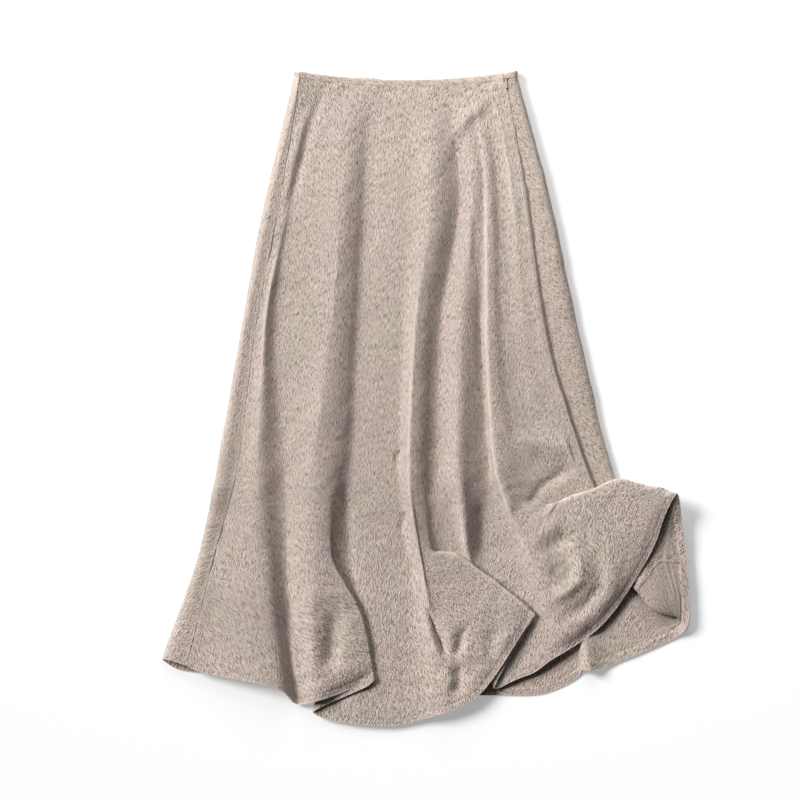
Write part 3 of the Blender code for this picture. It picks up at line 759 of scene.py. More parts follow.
@dataclass(frozen=True)
class Crease:
    """A trough or ridge laid over the cloth along a line, in millimetres."""

    path: tuple[tuple[float, float], ...]
    width: float
    rise: float
    fold: Fold = Fold.SOFT
    first: str = ""
    last: str = ""
    start: float = 0.0
    end: float = 1.0

    def over(self, grid: Grid, window: slice, shares: Grid) -> Grid:
        """How far it lifts each point of a grid.

        Args:
            grid: the cloth's points.
            window: the columns that it can reach.
            shares: the share of the way down of each row.

        Returns:
            The lift, zero outside its lines and levels.
        """
        lift = np.zeros(grid.shape[:2])
        rows = (shares >= self.start - LEVEL_FADE) & (shares <= self.end + LEVEL_FADE)
        level = smooth_step(shares, self.start - LEVEL_FADE, self.start)
        level *= 1 - smooth_step(shares, self.end, self.end + LEVEL_FADE)
        patch = grid[rows][:, window, :2]
        path = np.array(self.path, float)
        legs = np.diff(path, axis=0)
        lengths = np.linalg.norm(legs, axis=1)
        before = np.concatenate([[0], np.cumsum(lengths)])
        nearest = np.full(patch.shape[:2], FAR)
        along = np.zeros(patch.shape[:2])
        for start, leg, length, gone in zip(path, legs, lengths, before):
            share = np.clip(((patch - start) @ leg) / length**2, 0, 1)
            away = np.linalg.norm(patch - start - share[..., None] * leg, axis=2)
            closer = away < nearest
            nearest = np.where(closer, away, nearest)
            along = np.where(closer, gone + share * length, along)
        ends = np.minimum(along, before[-1] - along) / before[-1]
        taper = END_RISE + (1 - END_RISE) * smooth_step(ends, 0, END_SHARE)
        if self.fold is Fold.SOFT:
            section = np.exp(-((nearest / self.width) ** 2))
        else:
            section = np.exp(-nearest / self.width)
        fade = level[rows, None] * self.side_fade(window, grid.shape[1])
        found = np.zeros((rows.sum(), grid.shape[1]))
        found[:, window] = self.rise * section * taper * fade
        lift[rows] = found
        return lift

    @staticmethod
    def side_fade(window: slice, columns: int) -> Grid:
        """The share of the lift at each column of a window, less towards its inner ends.

        Args:
            window: the columns.
            columns: how many the whole grid has.

        Returns:
            One share for each column of the window.
        """
        place = np.arange(window.stop - window.start)
        fade = np.ones(len(place))
        if window.start > 0:
            fade *= smooth_step(place, -1, COLUMN_FADE)
        if window.stop < columns:
            fade *= smooth_step(len(place) - 1 - place, -1, COLUMN_FADE)
        return fade


@dataclass
class Cloth:
    """A panel's sampled middle surface with what every point of it needs.

    The cut's sides run towards a point that lies the focus above the waist, and an evened cut
    turns by the same angle round it at every level.
    """

    grid: Grid
    columns: dict[str, int]
    shares: Grid
    outside: float
    focus: float = 260.0
    even_turn: float = 1.1
    least_leg: float = 1e-6
    least_span: float = 0.5
    lift: Grid = field(init=False)

    def __post_init__(self) -> None:
        """Starts with no creases."""
        self.lift = np.zeros(self.grid.shape[:2])

    def flat(self, evened: bool = False) -> Grid:
        """Where each point lies on the cut cloth.

        Args:
            evened: spreads the flare evenly down the panel, so that no yarn shears.

        Returns:
            Millimetres on both axes, from the point that the panel's sides run towards.
        """
        down = lengths_along(self.grid, 0).mean(axis=1, keepdims=True)
        across = lengths_along(self.grid, 1)
        across = across - across[:, [across.shape[1] // 2]]
        radius = self.focus + down
        turn = across / radius
        if evened:
            turn *= self.even_turn / np.ptp(turn, axis=1, keepdims=True)
        return np.stack([radius * np.sin(turn), -radius * np.cos(turn)], axis=2)

    def yarns(self, evened: bool = False) -> Grid:
        """The same along the two yarns, which cross the middle of the panel on the bias."""
        flat = self.flat(evened)
        return np.stack([flat[..., 0] + flat[..., 1], flat[..., 0] - flat[..., 1]], axis=2) / math.sqrt(2)

    def window(self, first: str, last: str) -> slice:
        """The columns from one named line to another, or all."""
        return slice(self.columns.get(first, 0), self.columns.get(last, self.grid.shape[1] - 1) + 1)

    def crease(self, creases: Iterable[Crease]) -> None:
        """Lays the listed creases over the cloth."""
        for crease in creases:
            self.lift += crease.over(self.grid, self.window(crease.first, crease.last), self.shares)

    def crumple(self, amount: float, seed: int) -> None:
        """Adds the fine uneven crinkle of washed linen, along both yarns.

        Args:
            amount: its height.
            seed: the draw.
        """
        warp, weft = np.moveaxis(self.yarns(), 2, 0)
        for order, (long, wide, share) in enumerate(CRINKLES):
            place = warp / long + CRINKLE_START[0], weft / wide + CRINKLE_START[1]
            self.lift += amount * share * wandering(*place, seed + order)

    def settled(self) -> Grid:
        """The middle surface with its creases, kept off the surface it lies on."""
        grid = self.grid + self.outside * normals_of(self.grid) * self.lift[..., None]
        grid[..., 2] = np.maximum(grid[..., 2], FLAT_Z)
        return grid

    def bend(self, grid: Grid) -> Grid:
        """How sharply the outside bulges at each point, in radians to the millimetre.

        Args:
            grid: the cloth's middle surface.

        Returns:
            One value for each point, above 0 on a crest.
        """
        normals = normals_of(grid) * self.outside
        bulge = np.zeros(grid.shape[:2])
        for axis in (0, 1):
            legs = np.diff(grid, axis=axis)
            length = np.linalg.norm(legs, axis=2, keepdims=True)
            turn = np.diff(legs / np.maximum(length, self.least_leg), axis=axis)
            middle = [slice(None)] * 2
            middle[axis] = slice(1, -1)
            inner = tuple(middle)
            span = length.take(range(1, length.shape[axis]), axis=axis)
            span = (span + length.take(range(length.shape[axis] - 1), axis=axis))[..., 0] / 2
            bulge[inner] -= (turn * normals[inner]).sum(axis=2) / np.maximum(span, self.least_span)
        return blurred(bulge, 1)


def unworn(grid: Grid) -> Grid:
    """No rubbing and no painted highlight at any point of a grid."""
    return np.zeros(grid.shape[:2] + (1,))


def boundary(rows: int, columns: int) -> list[tuple[int, int]]:
    """The points round the edge of a grid: down the first column, along the last row and back.

    Args:
        rows: the grid's rows.
        columns: its columns.

    Returns:
        The row and column of each point, in order.
    """
    down = [(i, 0) for i in range(rows - 1)]
    along = [(rows - 1, j) for j in range(columns - 1)]
    up = [(i, columns - 1) for i in range(rows - 1, 0, -1)]
    return down + along + up + [(0, j) for j in range(columns - 1, 0, -1)]


def make_object(
    name: str, points: Grid, faces: Sequence[Sequence[int]], material: bpy.types.Material
) -> bpy.types.Object:
    """A smooth mesh object.

    Args:
        name: the piece's name.
        points: its points in millimetres.
        faces: the numbers of each face's points.
        material: its finish.

    Returns:
        The object, in the scene.
    """
    mesh = bpy.data.meshes.new(name)
    mesh.from_pydata((points * MM).tolist(), [], [tuple(face) for face in faces])
    mesh.update()
    mesh.shade_smooth()
    mesh.materials.append(material)
    made = bpy.data.objects.new(name, mesh)
    bpy.context.scene.collection.objects.link(made)
    return made


def sharpen(mesh: bpy.types.Mesh, rim: Grid, beyond: int) -> None:
    """Keeps the rims of a wall crisp.

    Args:
        mesh: the wall's mesh.
        rim: the numbers of the points round the upper surface, in order.
        beyond: how much higher the number of the lower surface's point is.
    """
    keys = {frozenset(pair) for pair in zip(rim.tolist(), np.roll(rim, -1).tolist())}
    keys |= {frozenset(number + beyond for number in key) for key in set(keys)}
    ends = np.empty(len(mesh.edges) * 2, dtype=np.int32)
    mesh.edges.foreach_get("vertices", ends)
    sharp = [frozenset(pair) in keys for pair in ends.reshape(-1, 2).tolist()]
    mesh.attributes.new("sharp_edge", "BOOLEAN", "EDGE").data.foreach_set("value", sharp)


def shell(
    name: str,
    above: Grid,
    below: Grid,
    material: bpy.types.Material,
    layers: Mapping[str, Grid] | None = None,
) -> bpy.types.Object:
    """A closed thin wall of cloth between two surfaces.

    Args:
        name: the piece's name.
        above: the surface on the side to which the grid's normals point.
        below: the other surface.
        material: its finish.
        layers: values of the cloth's points that the finish reads, by attribute name.

    Returns:
        The object.
    """
    rows, columns = above.shape[:2]
    index = np.arange(rows * columns).reshape(rows, columns)
    corners = [index[:-1, :-1], index[1:, :-1], index[1:, 1:], index[:-1, 1:]]
    quads = np.stack(corners, axis=-1).reshape(-1, 4)
    faces = quads.tolist() + (quads[:, ::-1] + rows * columns).tolist()
    edge = boundary(rows, columns)
    for (i, j), (k, n) in zip(edge, edge[1:] + edge[:1]):
        a, b = int(index[i, j]), int(index[k, n])
        faces.append([b, a, a + rows * columns, b + rows * columns])
    points = np.concatenate([above.reshape(-1, 3), below.reshape(-1, 3)])
    made = make_object(name, points, faces, material)
    sharpen(made.data, np.array([index[place] for place in edge]), rows * columns)
    for layer, values in (layers or {}).items():
        both = np.concatenate([values.reshape(rows * columns, -1)] * 2)
        kind, key = ("FLOAT", "value") if both.shape[1] == 1 else ("FLOAT_VECTOR", "vector")
        if kind == "FLOAT_VECTOR":
            both = np.pad(both, ((0, 0), (0, 3 - both.shape[1])))
        made.data.attributes.new(layer, kind, "POINT").data.foreach_set(key, both.ravel())
    return made


def dress(piece: bpy.types.Object, slot: str, *nodes: str) -> bpy.types.Object:
    """Rides a piece on the skirt, for the nodes that it stands for.

    Args:
        piece: the piece.
        slot: not used.
        nodes: the nodes that it replaces.

    Returns:
        The piece.
    """
    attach(piece, BODY)
    if nodes:
        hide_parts(*nodes)
    log.info("%s: %d faces", piece.name, len(piece.data.polygons))
    return piece


# ---- Shader maths -----------------------------------------------------------------------------


class Board:
    """The nodes of one material or of the sky."""

    def __init__(self, owner: bpy.types.Material | bpy.types.World) -> None:
        """Starts with no nodes.

        Args:
            owner: the material or the world that the nodes belong to.
        """
        self.owner = owner
        owner.use_nodes = True
        self.tree = owner.node_tree
        self.tree.nodes.clear()

    def node(
        self, kind: str, settings: Mapping[str, Any] | None = None, sockets: Mapping[Any, Any] | None = None
    ) -> bpy.types.Node:
        """Adds a node.

        Args:
            kind: its type.
            settings: its own properties, which are set first.
            sockets: a value or a link for each named or numbered input.

        Returns:
            The node.
        """
        made = self.tree.nodes.new(kind)
        for name, value in (settings or {}).items():
            setattr(made, name, value)
        for name, value in (sockets or {}).items():
            if isinstance(value, Value):
                self.tree.links.new(value.socket, made.inputs[name])
            elif isinstance(value, bpy.types.NodeSocket):
                self.tree.links.new(value, made.inputs[name])
            else:
                made.inputs[name].default_value = value
        return made

    def value(self, socket: bpy.types.NodeSocket) -> "Value":
        """Wraps a socket for maths."""
        return Value(self, socket)

    def layer(self, name: str) -> bpy.types.Node:
        """The node that reads a named layer of the mesh."""
        return self.node("ShaderNodeAttribute", {"attribute_name": name})

    def stretched(self, vector: bpy.types.NodeSocket, *scale: float) -> bpy.types.NodeSocket:
        """A vector scaled on each axis."""
        sockets = {0: vector, 1: scale}
        return self.node("ShaderNodeVectorMath", {"operation": "MULTIPLY"}, sockets).outputs[0]

    def noise(self, vector: bpy.types.NodeSocket, detail: float, roughness: float) -> "Value":
        """Smooth noise at a vector, about 0.5."""
        sockets = {"Vector": vector, "Scale": 1.0, "Detail": detail, "Roughness": roughness}
        return self.value(self.node("ShaderNodeTexNoise", None, sockets).outputs["Fac"])

    def blend(self, share: Any, first: Any, second: Any) -> bpy.types.NodeSocket:
        """A colour a share of the way from the first to the second."""
        settings = {"data_type": "RGBA"}
        return self.node("ShaderNodeMix", settings, {0: share, 6: first, 7: second}).outputs[2]

    def bump(self, height: "Value", distance: float) -> bpy.types.NodeSocket:
        """A normal from a height and how many metres high its unit stands."""
        sockets = {"Height": height, "Distance": distance, "Strength": 1.0}
        return self.node("ShaderNodeBump", None, sockets).outputs["Normal"]

    def rays(self, *kinds: str) -> "Value":
        """1 for rays of the given kinds and 0 for the rest."""
        path = self.node("ShaderNodeLightPath")
        return sum(self.value(path.outputs[kind]) for kind in kinds).between(0.0, 1.0)

    def surface(self, **sockets: Any) -> bpy.types.Material:
        """Ends the material in the main shader with these inputs, their names with _ for a space."""
        named = {name.replace("_", " "): value for name, value in sockets.items()}
        shader = self.node("ShaderNodeBsdfPrincipled", None, named)
        self.node("ShaderNodeOutputMaterial", None, {"Surface": shader.outputs[0]})
        return self.owner


class Value:
    """A number that varies over a surface."""

    def __init__(self, board: Board, socket: bpy.types.NodeSocket) -> None:
        """Wraps a socket of a board."""
        self.board, self.socket = board, socket

    def _of(self, operation: str, *numbers: Any) -> "Value":
        """The result of a maths node on the given numbers."""
        sockets = dict(enumerate(numbers))
        made = self.board.node("ShaderNodeMath", {"operation": operation}, sockets)
        return Value(self.board, made.outputs[0])

    def __add__(self, other: Any) -> "Value":
        """Their sum."""
        return self._of("ADD", self, other)

    __radd__ = __add__

    def __mul__(self, other: Any) -> "Value":
        """Their product."""
        return self._of("MULTIPLY", self, other)

    __rmul__ = __mul__

    def __sub__(self, other: Any) -> "Value":
        """This less the other."""
        return self._of("SUBTRACT", self, other)

    def __rsub__(self, other: Any) -> "Value":
        """The other less this."""
        return self._of("SUBTRACT", other, self)

    def sine(self) -> "Value":
        """Its sine."""
        return self._of("SINE", self)

    def between(self, low: float, high: float) -> "Value":
        """0 below low, 1 above high and a soft rise between.

        Args:
            low: where the rise starts.
            high: where it ends.

        Returns:
            The new value.
        """
        settings = {"interpolation_type": "SMOOTHSTEP"}
        sockets = {0: self, 1: low, 2: high}
        return Value(self.board, self.board.node("ShaderNodeMapRange", settings, sockets).outputs[0])


Colour = tuple[float, float, float, float]


def tone(red: int, green: int, blue: int) -> Colour:
    """A colour from the 0 to 255 values of a colour chart."""
    linear = [((c / 255 + 0.055) / 1.055) ** 2.4 for c in (red, green, blue)]
    return linear[0], linear[1], linear[2], 1.0


def grey(level: float) -> Colour:
    """A colour without a hue."""
    return level, level, level, 1.0


@dataclass(frozen=True)
class Linen:
    """Washed slubby linen with a fine crinkle.

    Its features' scales are turns of their noise to the metre. Its colour holds painted shade in the
    crinkle's hollows, and painted highlights on the crinkle's crests and on the fold crests that its layer
    marks.
    """

    name: str
    warm: Colour
    cool: Colour
    hollow_shade: Colour
    worn_and_lit: Colour
    crinkle: float = 1.0
    roughness: float = 0.9
    slub: tuple[float, float] = (60, 640)
    stroke: tuple[float, float] = (130, 600)
    pebble: float = 520
    fleck: float = 160
    patch: float = 9
    yarn_pitch: float = 0.0013
    relief: float = 0.0011

    def material(self) -> bpy.types.Material:
        """The cloth's material, which reads its yarns' places in metres."""
        board = Board(bpy.data.materials.new(self.name))
        yarns = board.layer("yarns").outputs["Vector"]
        wear_and_highlight = board.value(board.layer("wear_and_highlight").outputs["Fac"])
        long, thin = self.slub
        warp_slubs = board.noise(board.stretched(yarns, long, thin, 1), 1, 0.6)
        weft_slubs = board.noise(board.stretched(yarns, thin, long, 1), 1, 0.6)
        weave = self.weave(board, yarns)
        strokes = self.strokes(board, yarns)
        patches = board.noise(board.stretched(yarns, self.patch, self.patch, 1), 3, 0.6)
        flecks = board.noise(board.stretched(yarns, self.fleck, self.fleck, 1), 2, 0.7)
        slubs = (warp_slubs + weft_slubs - 1.0) * 2.2
        pebbles = board.noise(board.stretched(yarns, self.pebble, self.pebble, 1), 2, 0.7) - 0.5
        height = (strokes * 0.8 + pebbles * 1.0) * self.crinkle + slubs * 0.12 + weave * 0.05
        colour = board.blend(patches.between(0.36, 0.64), self.warm, self.cool)
        # Painted shade: the colour darkens in the crinkle's hollows, where the height above is low, with
        # some of the slubs' and flecks' own tone.
        dark = (strokes * -1.6 + pebbles * -2.0 + slubs * -0.1 + flecks * 0.3 - 0.1).between(0.0, 0.95)
        # Painted highlight: the colour pales on the crinkle's crests, where the height above is high.
        light = (strokes * 1.5 + pebbles * 1.8 - 0.1).between(0.0, 0.9)
        colour = board.blend(light, board.blend(dark, colour, self.hollow_shade), self.worn_and_lit)
        # The layer read above pales the colour: rubbing round the cloth's edges and a painted highlight
        # along the fold crests.
        colour = board.blend(wear_and_highlight * 0.75, colour, self.worn_and_lit)
        rough = slubs * 0.03 + wear_and_highlight * 0.04 + self.roughness
        return board.surface(
            Base_Color=colour, Roughness=rough, Normal=board.bump(height, self.relief),
            Sheen_Weight=0.18, Sheen_Roughness=0.5, Specular_IOR_Level=0.25,
        )

    def weave(self, board: Board, yarns: bpy.types.NodeSocket) -> Value:
        """The over and under of the yarns, from -1 to 1.

        Args:
            board: the material's nodes.
            yarns: the places along the two yarns, in metres.

        Returns:
            The value, 1 at the middle of a yarn on top.
        """
        parts = board.node("ShaderNodeSeparateXYZ", None, {0: yarns})
        turns = 2 * math.pi / self.yarn_pitch
        warp, weft = (board.value(parts.outputs[axis]) * turns for axis in (0, 1))
        return warp.sine() * weft.sine()

    def strokes(self, board: Board, yarns: bpy.types.NodeSocket) -> Value:
        """The short crinkles down the panel's length and some along its warp, about 0.

        Args:
            board: the material's nodes.
            yarns: the places along the two yarns, in metres.

        Returns:
            The value, above 0 on a crinkle's crest.
        """
        long, thin = self.stroke
        sockets = {"Vector": yarns, "Angle": math.radians(-45)}
        turned = board.node("ShaderNodeVectorRotate", {"rotation_type": "Z_AXIS"}, sockets).outputs[0]
        lengthwise = board.noise(board.stretched(turned, thin, long, 1), 1, 0.7)
        along_warp = board.noise(board.stretched(yarns, long, thin, 1), 1, 0.7)
        return (lengthwise - 0.5) * 2.3 + (along_warp - 0.5) * 1.6


@dataclass(frozen=True)
class Plain:
    """A finish of one colour with a fine grain."""

    name: str
    colour: Colour
    dark: Colour
    roughness: float = 0.6
    metallic: float = 0.0
    grain: float = 900.0
    stain: float = 90.0
    depth: float = 0.00008

    def material(self) -> bpy.types.Material:
        """The material, whose grain is fixed in the part."""
        board = Board(bpy.data.materials.new(self.name))
        place = board.node("ShaderNodeTexCoord").outputs["Object"]
        grain = board.noise(board.stretched(place, self.grain, self.grain, self.grain), 3, 0.6)
        stains = board.noise(board.stretched(place, self.stain, self.stain, self.stain), 2, 0.5)
        return board.surface(
            Base_Color=board.blend((grain * 0.5 + stains * 0.5).between(0.3, 0.7), self.dark, self.colour),
            Roughness=(grain - 0.5) * 0.3 + self.roughness,
            Metallic=self.metallic,
            Normal=board.bump(grain, self.depth),
        )


@dataclass(frozen=True)
class Floor:
    """The pale surface that the skirt lies on, which shows white and keeps the shadow."""

    name: str = "floor"
    albedo: float = 0.80
    glow: float = 0.34

    def material(self) -> bpy.types.Material:
        """The material, with a glow that only the camera and mirrors see."""
        board = Board(bpy.data.materials.new(self.name))
        seen = board.rays("Is Camera Ray", "Is Glossy Ray", "Is Transmission Ray")
        return board.surface(
            Base_Color=grey(self.albedo), Roughness=1.0, Specular_IOR_Level=0.0,
            Emission_Color=board.blend(seen * self.glow, grey(0.0), grey(1.0)), Emission_Strength=1.0,
        )


# Each linen's darkest colour is painted shade for the crinkle's hollows, and its palest is a painted
# highlight on crests as well as the tone of rubbed edges.
OATMEAL = Linen(
    "oatmeal_linen",
    warm=tone(216, 196, 188), cool=tone(210, 196, 183), hollow_shade=tone(154, 134, 121), worn_and_lit=tone(236, 222, 212),
)
OATMEAL_BACK = Linen(
    "oatmeal_linen_back",
    warm=tone(215, 194, 184), cool=tone(209, 193, 179), hollow_shade=tone(150, 131, 118), worn_and_lit=tone(225, 212, 202),
)
BINDING = Linen(
    "linen_binding",
    warm=tone(215, 197, 185), cool=tone(209, 196, 181), hollow_shade=tone(160, 142, 129), worn_and_lit=tone(229, 217, 206),
    crinkle=0.5,
)
TAPE = Linen(
    "zip_tape_cloth",
    warm=tone(160, 145, 132), cool=tone(156, 144, 131), hollow_shade=tone(130, 115, 104), worn_and_lit=tone(180, 168, 156),
    crinkle=0.1,
)
THREAD = Plain("sewing_thread", tone(190, 177, 163), tone(160, 146, 134), roughness=0.7)
COIL = Plain("zip_coil_nylon", tone(170, 155, 140), tone(140, 126, 113), roughness=0.45)
SLIDER_METAL = Plain(
    "zip_slider_metal", tone(196, 182, 166), tone(160, 146, 132), roughness=0.38, metallic=0.7
)
TAB_ENAMEL = Plain("zip_tab_enamel", tone(214, 202, 188), tone(196, 182, 168), roughness=0.35)


# ---- The pieces ------------------------------------------------------------------------------


# Creases of the front, from the left seam to the zipped one. Each reaches only the cloth from its first
# line to its last, and from its start level to its end level.
FRONT_CREASES = (
    Crease(((-131, 433), (-140, 417), (-157, 383), (-173, 314), (-187, 262)), 6, -3.6,
           last="left_crest", end=0.24),
    Crease(((-150, 410), (-168, 372), (-184, 310)), 7, 2.4, last="left_crest", end=0.2),
    Crease(((-119, 245), (-122, 177), (-129, 108), (-139, 39), (-146, -30), (-153, -80)), 3.5, 1.5,
           Fold.PINCHED, first="low_ridge", last="left_return"),
    Crease(((-275, -205), (-276, -240)), 7, 1.6, last="side_ridge"),
    Crease(((-186, -312), (-179, -355), (-172, -397)), 7, 4.5, first="side_ridge", last="low_ridge",
           start=0.78),
    Crease(((-166, -322), (-159, -360), (-152, -405)), 6, -3.5, first="side_ridge", last="low_ridge",
           start=0.78),
    Crease(((-169, 430), (-194, 280), (-229, 94), (-254, -98), (-284, -211), (-323, -367)), 2.2, -0.8,
           Fold.PINCHED, last="side_ridge"),
    Crease(((-38, -80), (-37, -98)), 7, -1.6, first="centre", last="mid_crest"),
    Crease(((-31, -64), (-36, -78), (-44, -90)), 4, -2.2, first="centre", last="mid_crest"),
    Crease(((-26, -148), (-33, -181), (-22, -222)), 4, -2.6, first="centre", last="mid_crest"),
    Crease(((-20, -212), (-14, -250)), 6, -1.6, first="centre", last="mid_crest"),
    Crease(((99, 400), (72, 380), (48, 350), (41, 324)), 9, -2.2, first="mid_crest", last="flap_c",
           end=0.18),
    Crease(((86, 408), (58, 388), (34, 356)), 7, 2.4, first="mid_crest", last="flap_c", end=0.18),
    Crease(((69, 245), (69, 180)), 6, -2.2, first="twin_foot", last="drop_edge", end=0.4),
    Crease(((74, 130), (75, 94), (79, 30), (87, -60)), 2.4, -3.0, Fold.PINCHED, first="twin_side",
           last="drop_edge"),
    Crease(((92, -62), (98, -103), (111, -140), (120, -177), (133, -197), (150, -223), (163, -243)),
           2.6, 2.0, Fold.PINCHED, first="drop_return", last="flap_b"),
    Crease(((88, -70), (94, -106), (105, -143), (112, -165)), 2.6, -3.0, Fold.PINCHED,
           first="deep_valley", last="flap_b"),
    Crease(((137, 273), (126, 238)), 3, -1.2, Fold.PINCHED, first="flap_a", end=0.3),
    Crease(((112, -50), (148, -62), (199, -68), (234, -98)), 15, 6.5, first="drop_edge", last="flap_f",
           end=0.6),
    Crease(((214, -92), (186, -104), (160, -121), (148, -139), (136, -163)), 6, -3.6, first="drop_edge",
           last="flap_f", end=0.62),
    Crease(((-114, -108), (-109, -180), (-105, -240), (-98, -290)), 8, -4.6, first="left_return",
           last="centre", start=0.5),
    Crease(((76, -140), (74, -180), (73, -222)), 8, -5.5, first="twin_crest", last="drop_return",
           start=0.5),
    Crease(((47, -96), (51, -140), (55, -180), (61, -222)), 6, 3.2, first="twin_foot", last="twin_side",
           start=0.5),
    Crease(((200, -208), (212, -230), (211, -249), (193, -265), (170, -277)), 9, 6.0,
           first="drop_return", last="flap_e", start=0.78),
    Crease(((224, -203), (239, -230), (240, -260), (219, -287), (190, -302)), 10, -5.5,
           first="drop_return", last="flap_e", start=0.78),
    Crease(((150, -187), (168, -178), (190, -167)), 8, 2.4, first="drop_edge", last="flap_d",
           start=0.75),
    Crease(((156, -208), (178, -200), (202, -187)), 9, -5.0, first="drop_edge", last="flap_d",
           start=0.75),
    Crease(((172, -237), (181, -243)), 4, -2.6, first="drop_edge", last="flap_c", start=0.8),
    Crease(((152, -296), (163, -309), (174, -322)), 1.8, -1.6, Fold.PINCHED, first="drop_edge",
           last="flap_c", start=0.86),
    Crease(((172, -360), (197, -345), (218, -332), (243, -312), (269, -282), (291, -245)), 14, -8.5,
           first="drop_return", last="flap_e", start=0.84),
    Crease(((151, -296), (138, -316), (108, -360), (72, -408)), 10, -3.4, first="lap_upper",
           last="lap_edge", start=0.84),
    Crease(((5, -293), (12, -311), (21, -333), (29, -353), (30, -358)), 3.8, -12.0, Fold.PINCHED,
           first="mid_foot", last="lap_lower", start=0.8),
    Crease(((0, -300), (8, -330), (18, -356)), 4, 2.6, first="mid_foot", last="lap_lower", start=0.8),
    Crease(((31, -318), (34, -336), (32, -346)), 4, 2.5, first="mid_foot", last="lap_lower", start=0.8),
    Crease(((51, -314), (49, -336), (42, -356)), 5.5, -6.0, first="mid_foot", last="lap_lower",
           start=0.8),
    Crease(((29, -366), (32, -388), (28, -406)), 6, 2.5, first="mid_foot", last="lap_lower",
           start=0.82),
    Crease(((45, -362), (47, -385), (43, -410)), 7, -6.0, first="mid_foot", last="lap_lower",
           start=0.82),
    Crease(((-154, -250), (-155, -300), (-156, -350), (-153, -390)), 9, 3.0, first="side_trough",
           last="left_edge", start=0.76),
    Crease(((-122, -285), (-126, -330), (-131, -378)), 11, -8.0, first="side_trough", last="left_edge",
           start=0.78),
    Crease(((-140, -413), (-106, -401), (-69, -384)), 13, -7.0, first="low_ridge", last="left_edge",
           start=0.86),
    Crease(((92, -314), (91, -362)), 9, -4.2, first="lap_upper", last="lap_edge", start=0.86),
)

# The ridge of the back's cloth beside the left seam.
BACK_CREASES = (
    Crease(((-173, 430), (-199, 280), (-234, 94), (-259, -98), (-289, -211), (-328, -367)), 1.8, 1.2,
           Fold.PINCHED, last="left_strip"),
)


@dataclass
class PanelPiece:
    """A panel of the skirt as a piece of cloth with a hem."""

    cloth: Cloth
    wall: float = CLOTH_WALL
    hem_width: float = 9.5
    hem_wall: float = 0.7
    hem_step: tuple[float, float] = (-0.5, 0.3)
    stitch_inset: float = 1.0
    stitch_width: float = 1.1
    stitch_depth: float = 0.35
    # The painted highlight on fold crests rises over the first range of bend; rubbing pales the edges.
    highlight_bend: tuple[float, float] = (0.03, 0.22)
    worn_edge: float = 2.2
    edge_wear: float = 0.8
    stitched_row: int = -6

    def surfaces(self) -> tuple[Grid, Grid]:
        """The two sides of its wall, with the hem's turn-up on the inside."""
        cloth = self.cloth
        grid = cloth.settled()
        down = lengths_along(grid, 0)
        left = down[-1] - down
        turn_up = smooth_step(self.hem_width - left, *self.hem_step) * self.hem_wall
        sewn = np.exp(-(((left - self.hem_width + self.stitch_inset) / self.stitch_width) ** 2))
        normals = normals_of(grid) * cloth.outside
        outer = grid + normals * (self.wall / 2 - sewn * self.stitch_depth)[..., None]
        inner = grid - normals * (self.wall / 2 + turn_up)[..., None]
        outer[..., 2] = np.maximum(outer[..., 2], 0.0)
        return outer, inner

    def wear_and_highlight(self) -> Grid:
        """Where the cloth is paler: a painted highlight on sharp crests, and rubbing round its edges."""
        cloth = self.cloth
        grid = cloth.settled()
        down, across = lengths_along(grid, 0), lengths_along(grid, 1)
        edge = np.minimum(down[-1] - down, np.minimum(across, across[:, -1:] - across))
        # Painted highlight along the folds' sharp crests.
        crest = smooth_step(cloth.bend(grid), *self.highlight_bend)
        rim = smooth_step(self.worn_edge - edge, 0, self.worn_edge)
        return np.clip(crest + self.edge_wear * rim, 0, 1)

    def build(self, name: str, material: bpy.types.Material) -> bpy.types.Object:
        """The panel's object.

        Args:
            name: the piece's name.
            material: its finish.

        Returns:
            The object, in the scene.
        """
        outer, inner = self.surfaces()
        above, below = (outer, inner) if self.cloth.outside > 0 else (inner, outer)
        layers = {"yarns": self.cloth.yarns(evened=True) * MM, "wear_and_highlight": self.wear_and_highlight()[..., None]}
        return shell(name, above, below, material, layers)

    def hem_run(self) -> tuple[Grid, Grid]:
        """The path of the stitches that hold its hem, with its normals."""
        outer, _ = self.surfaces()
        return outer[self.stitched_row], normals_of(outer)[self.stitched_row] * self.cloth.outside


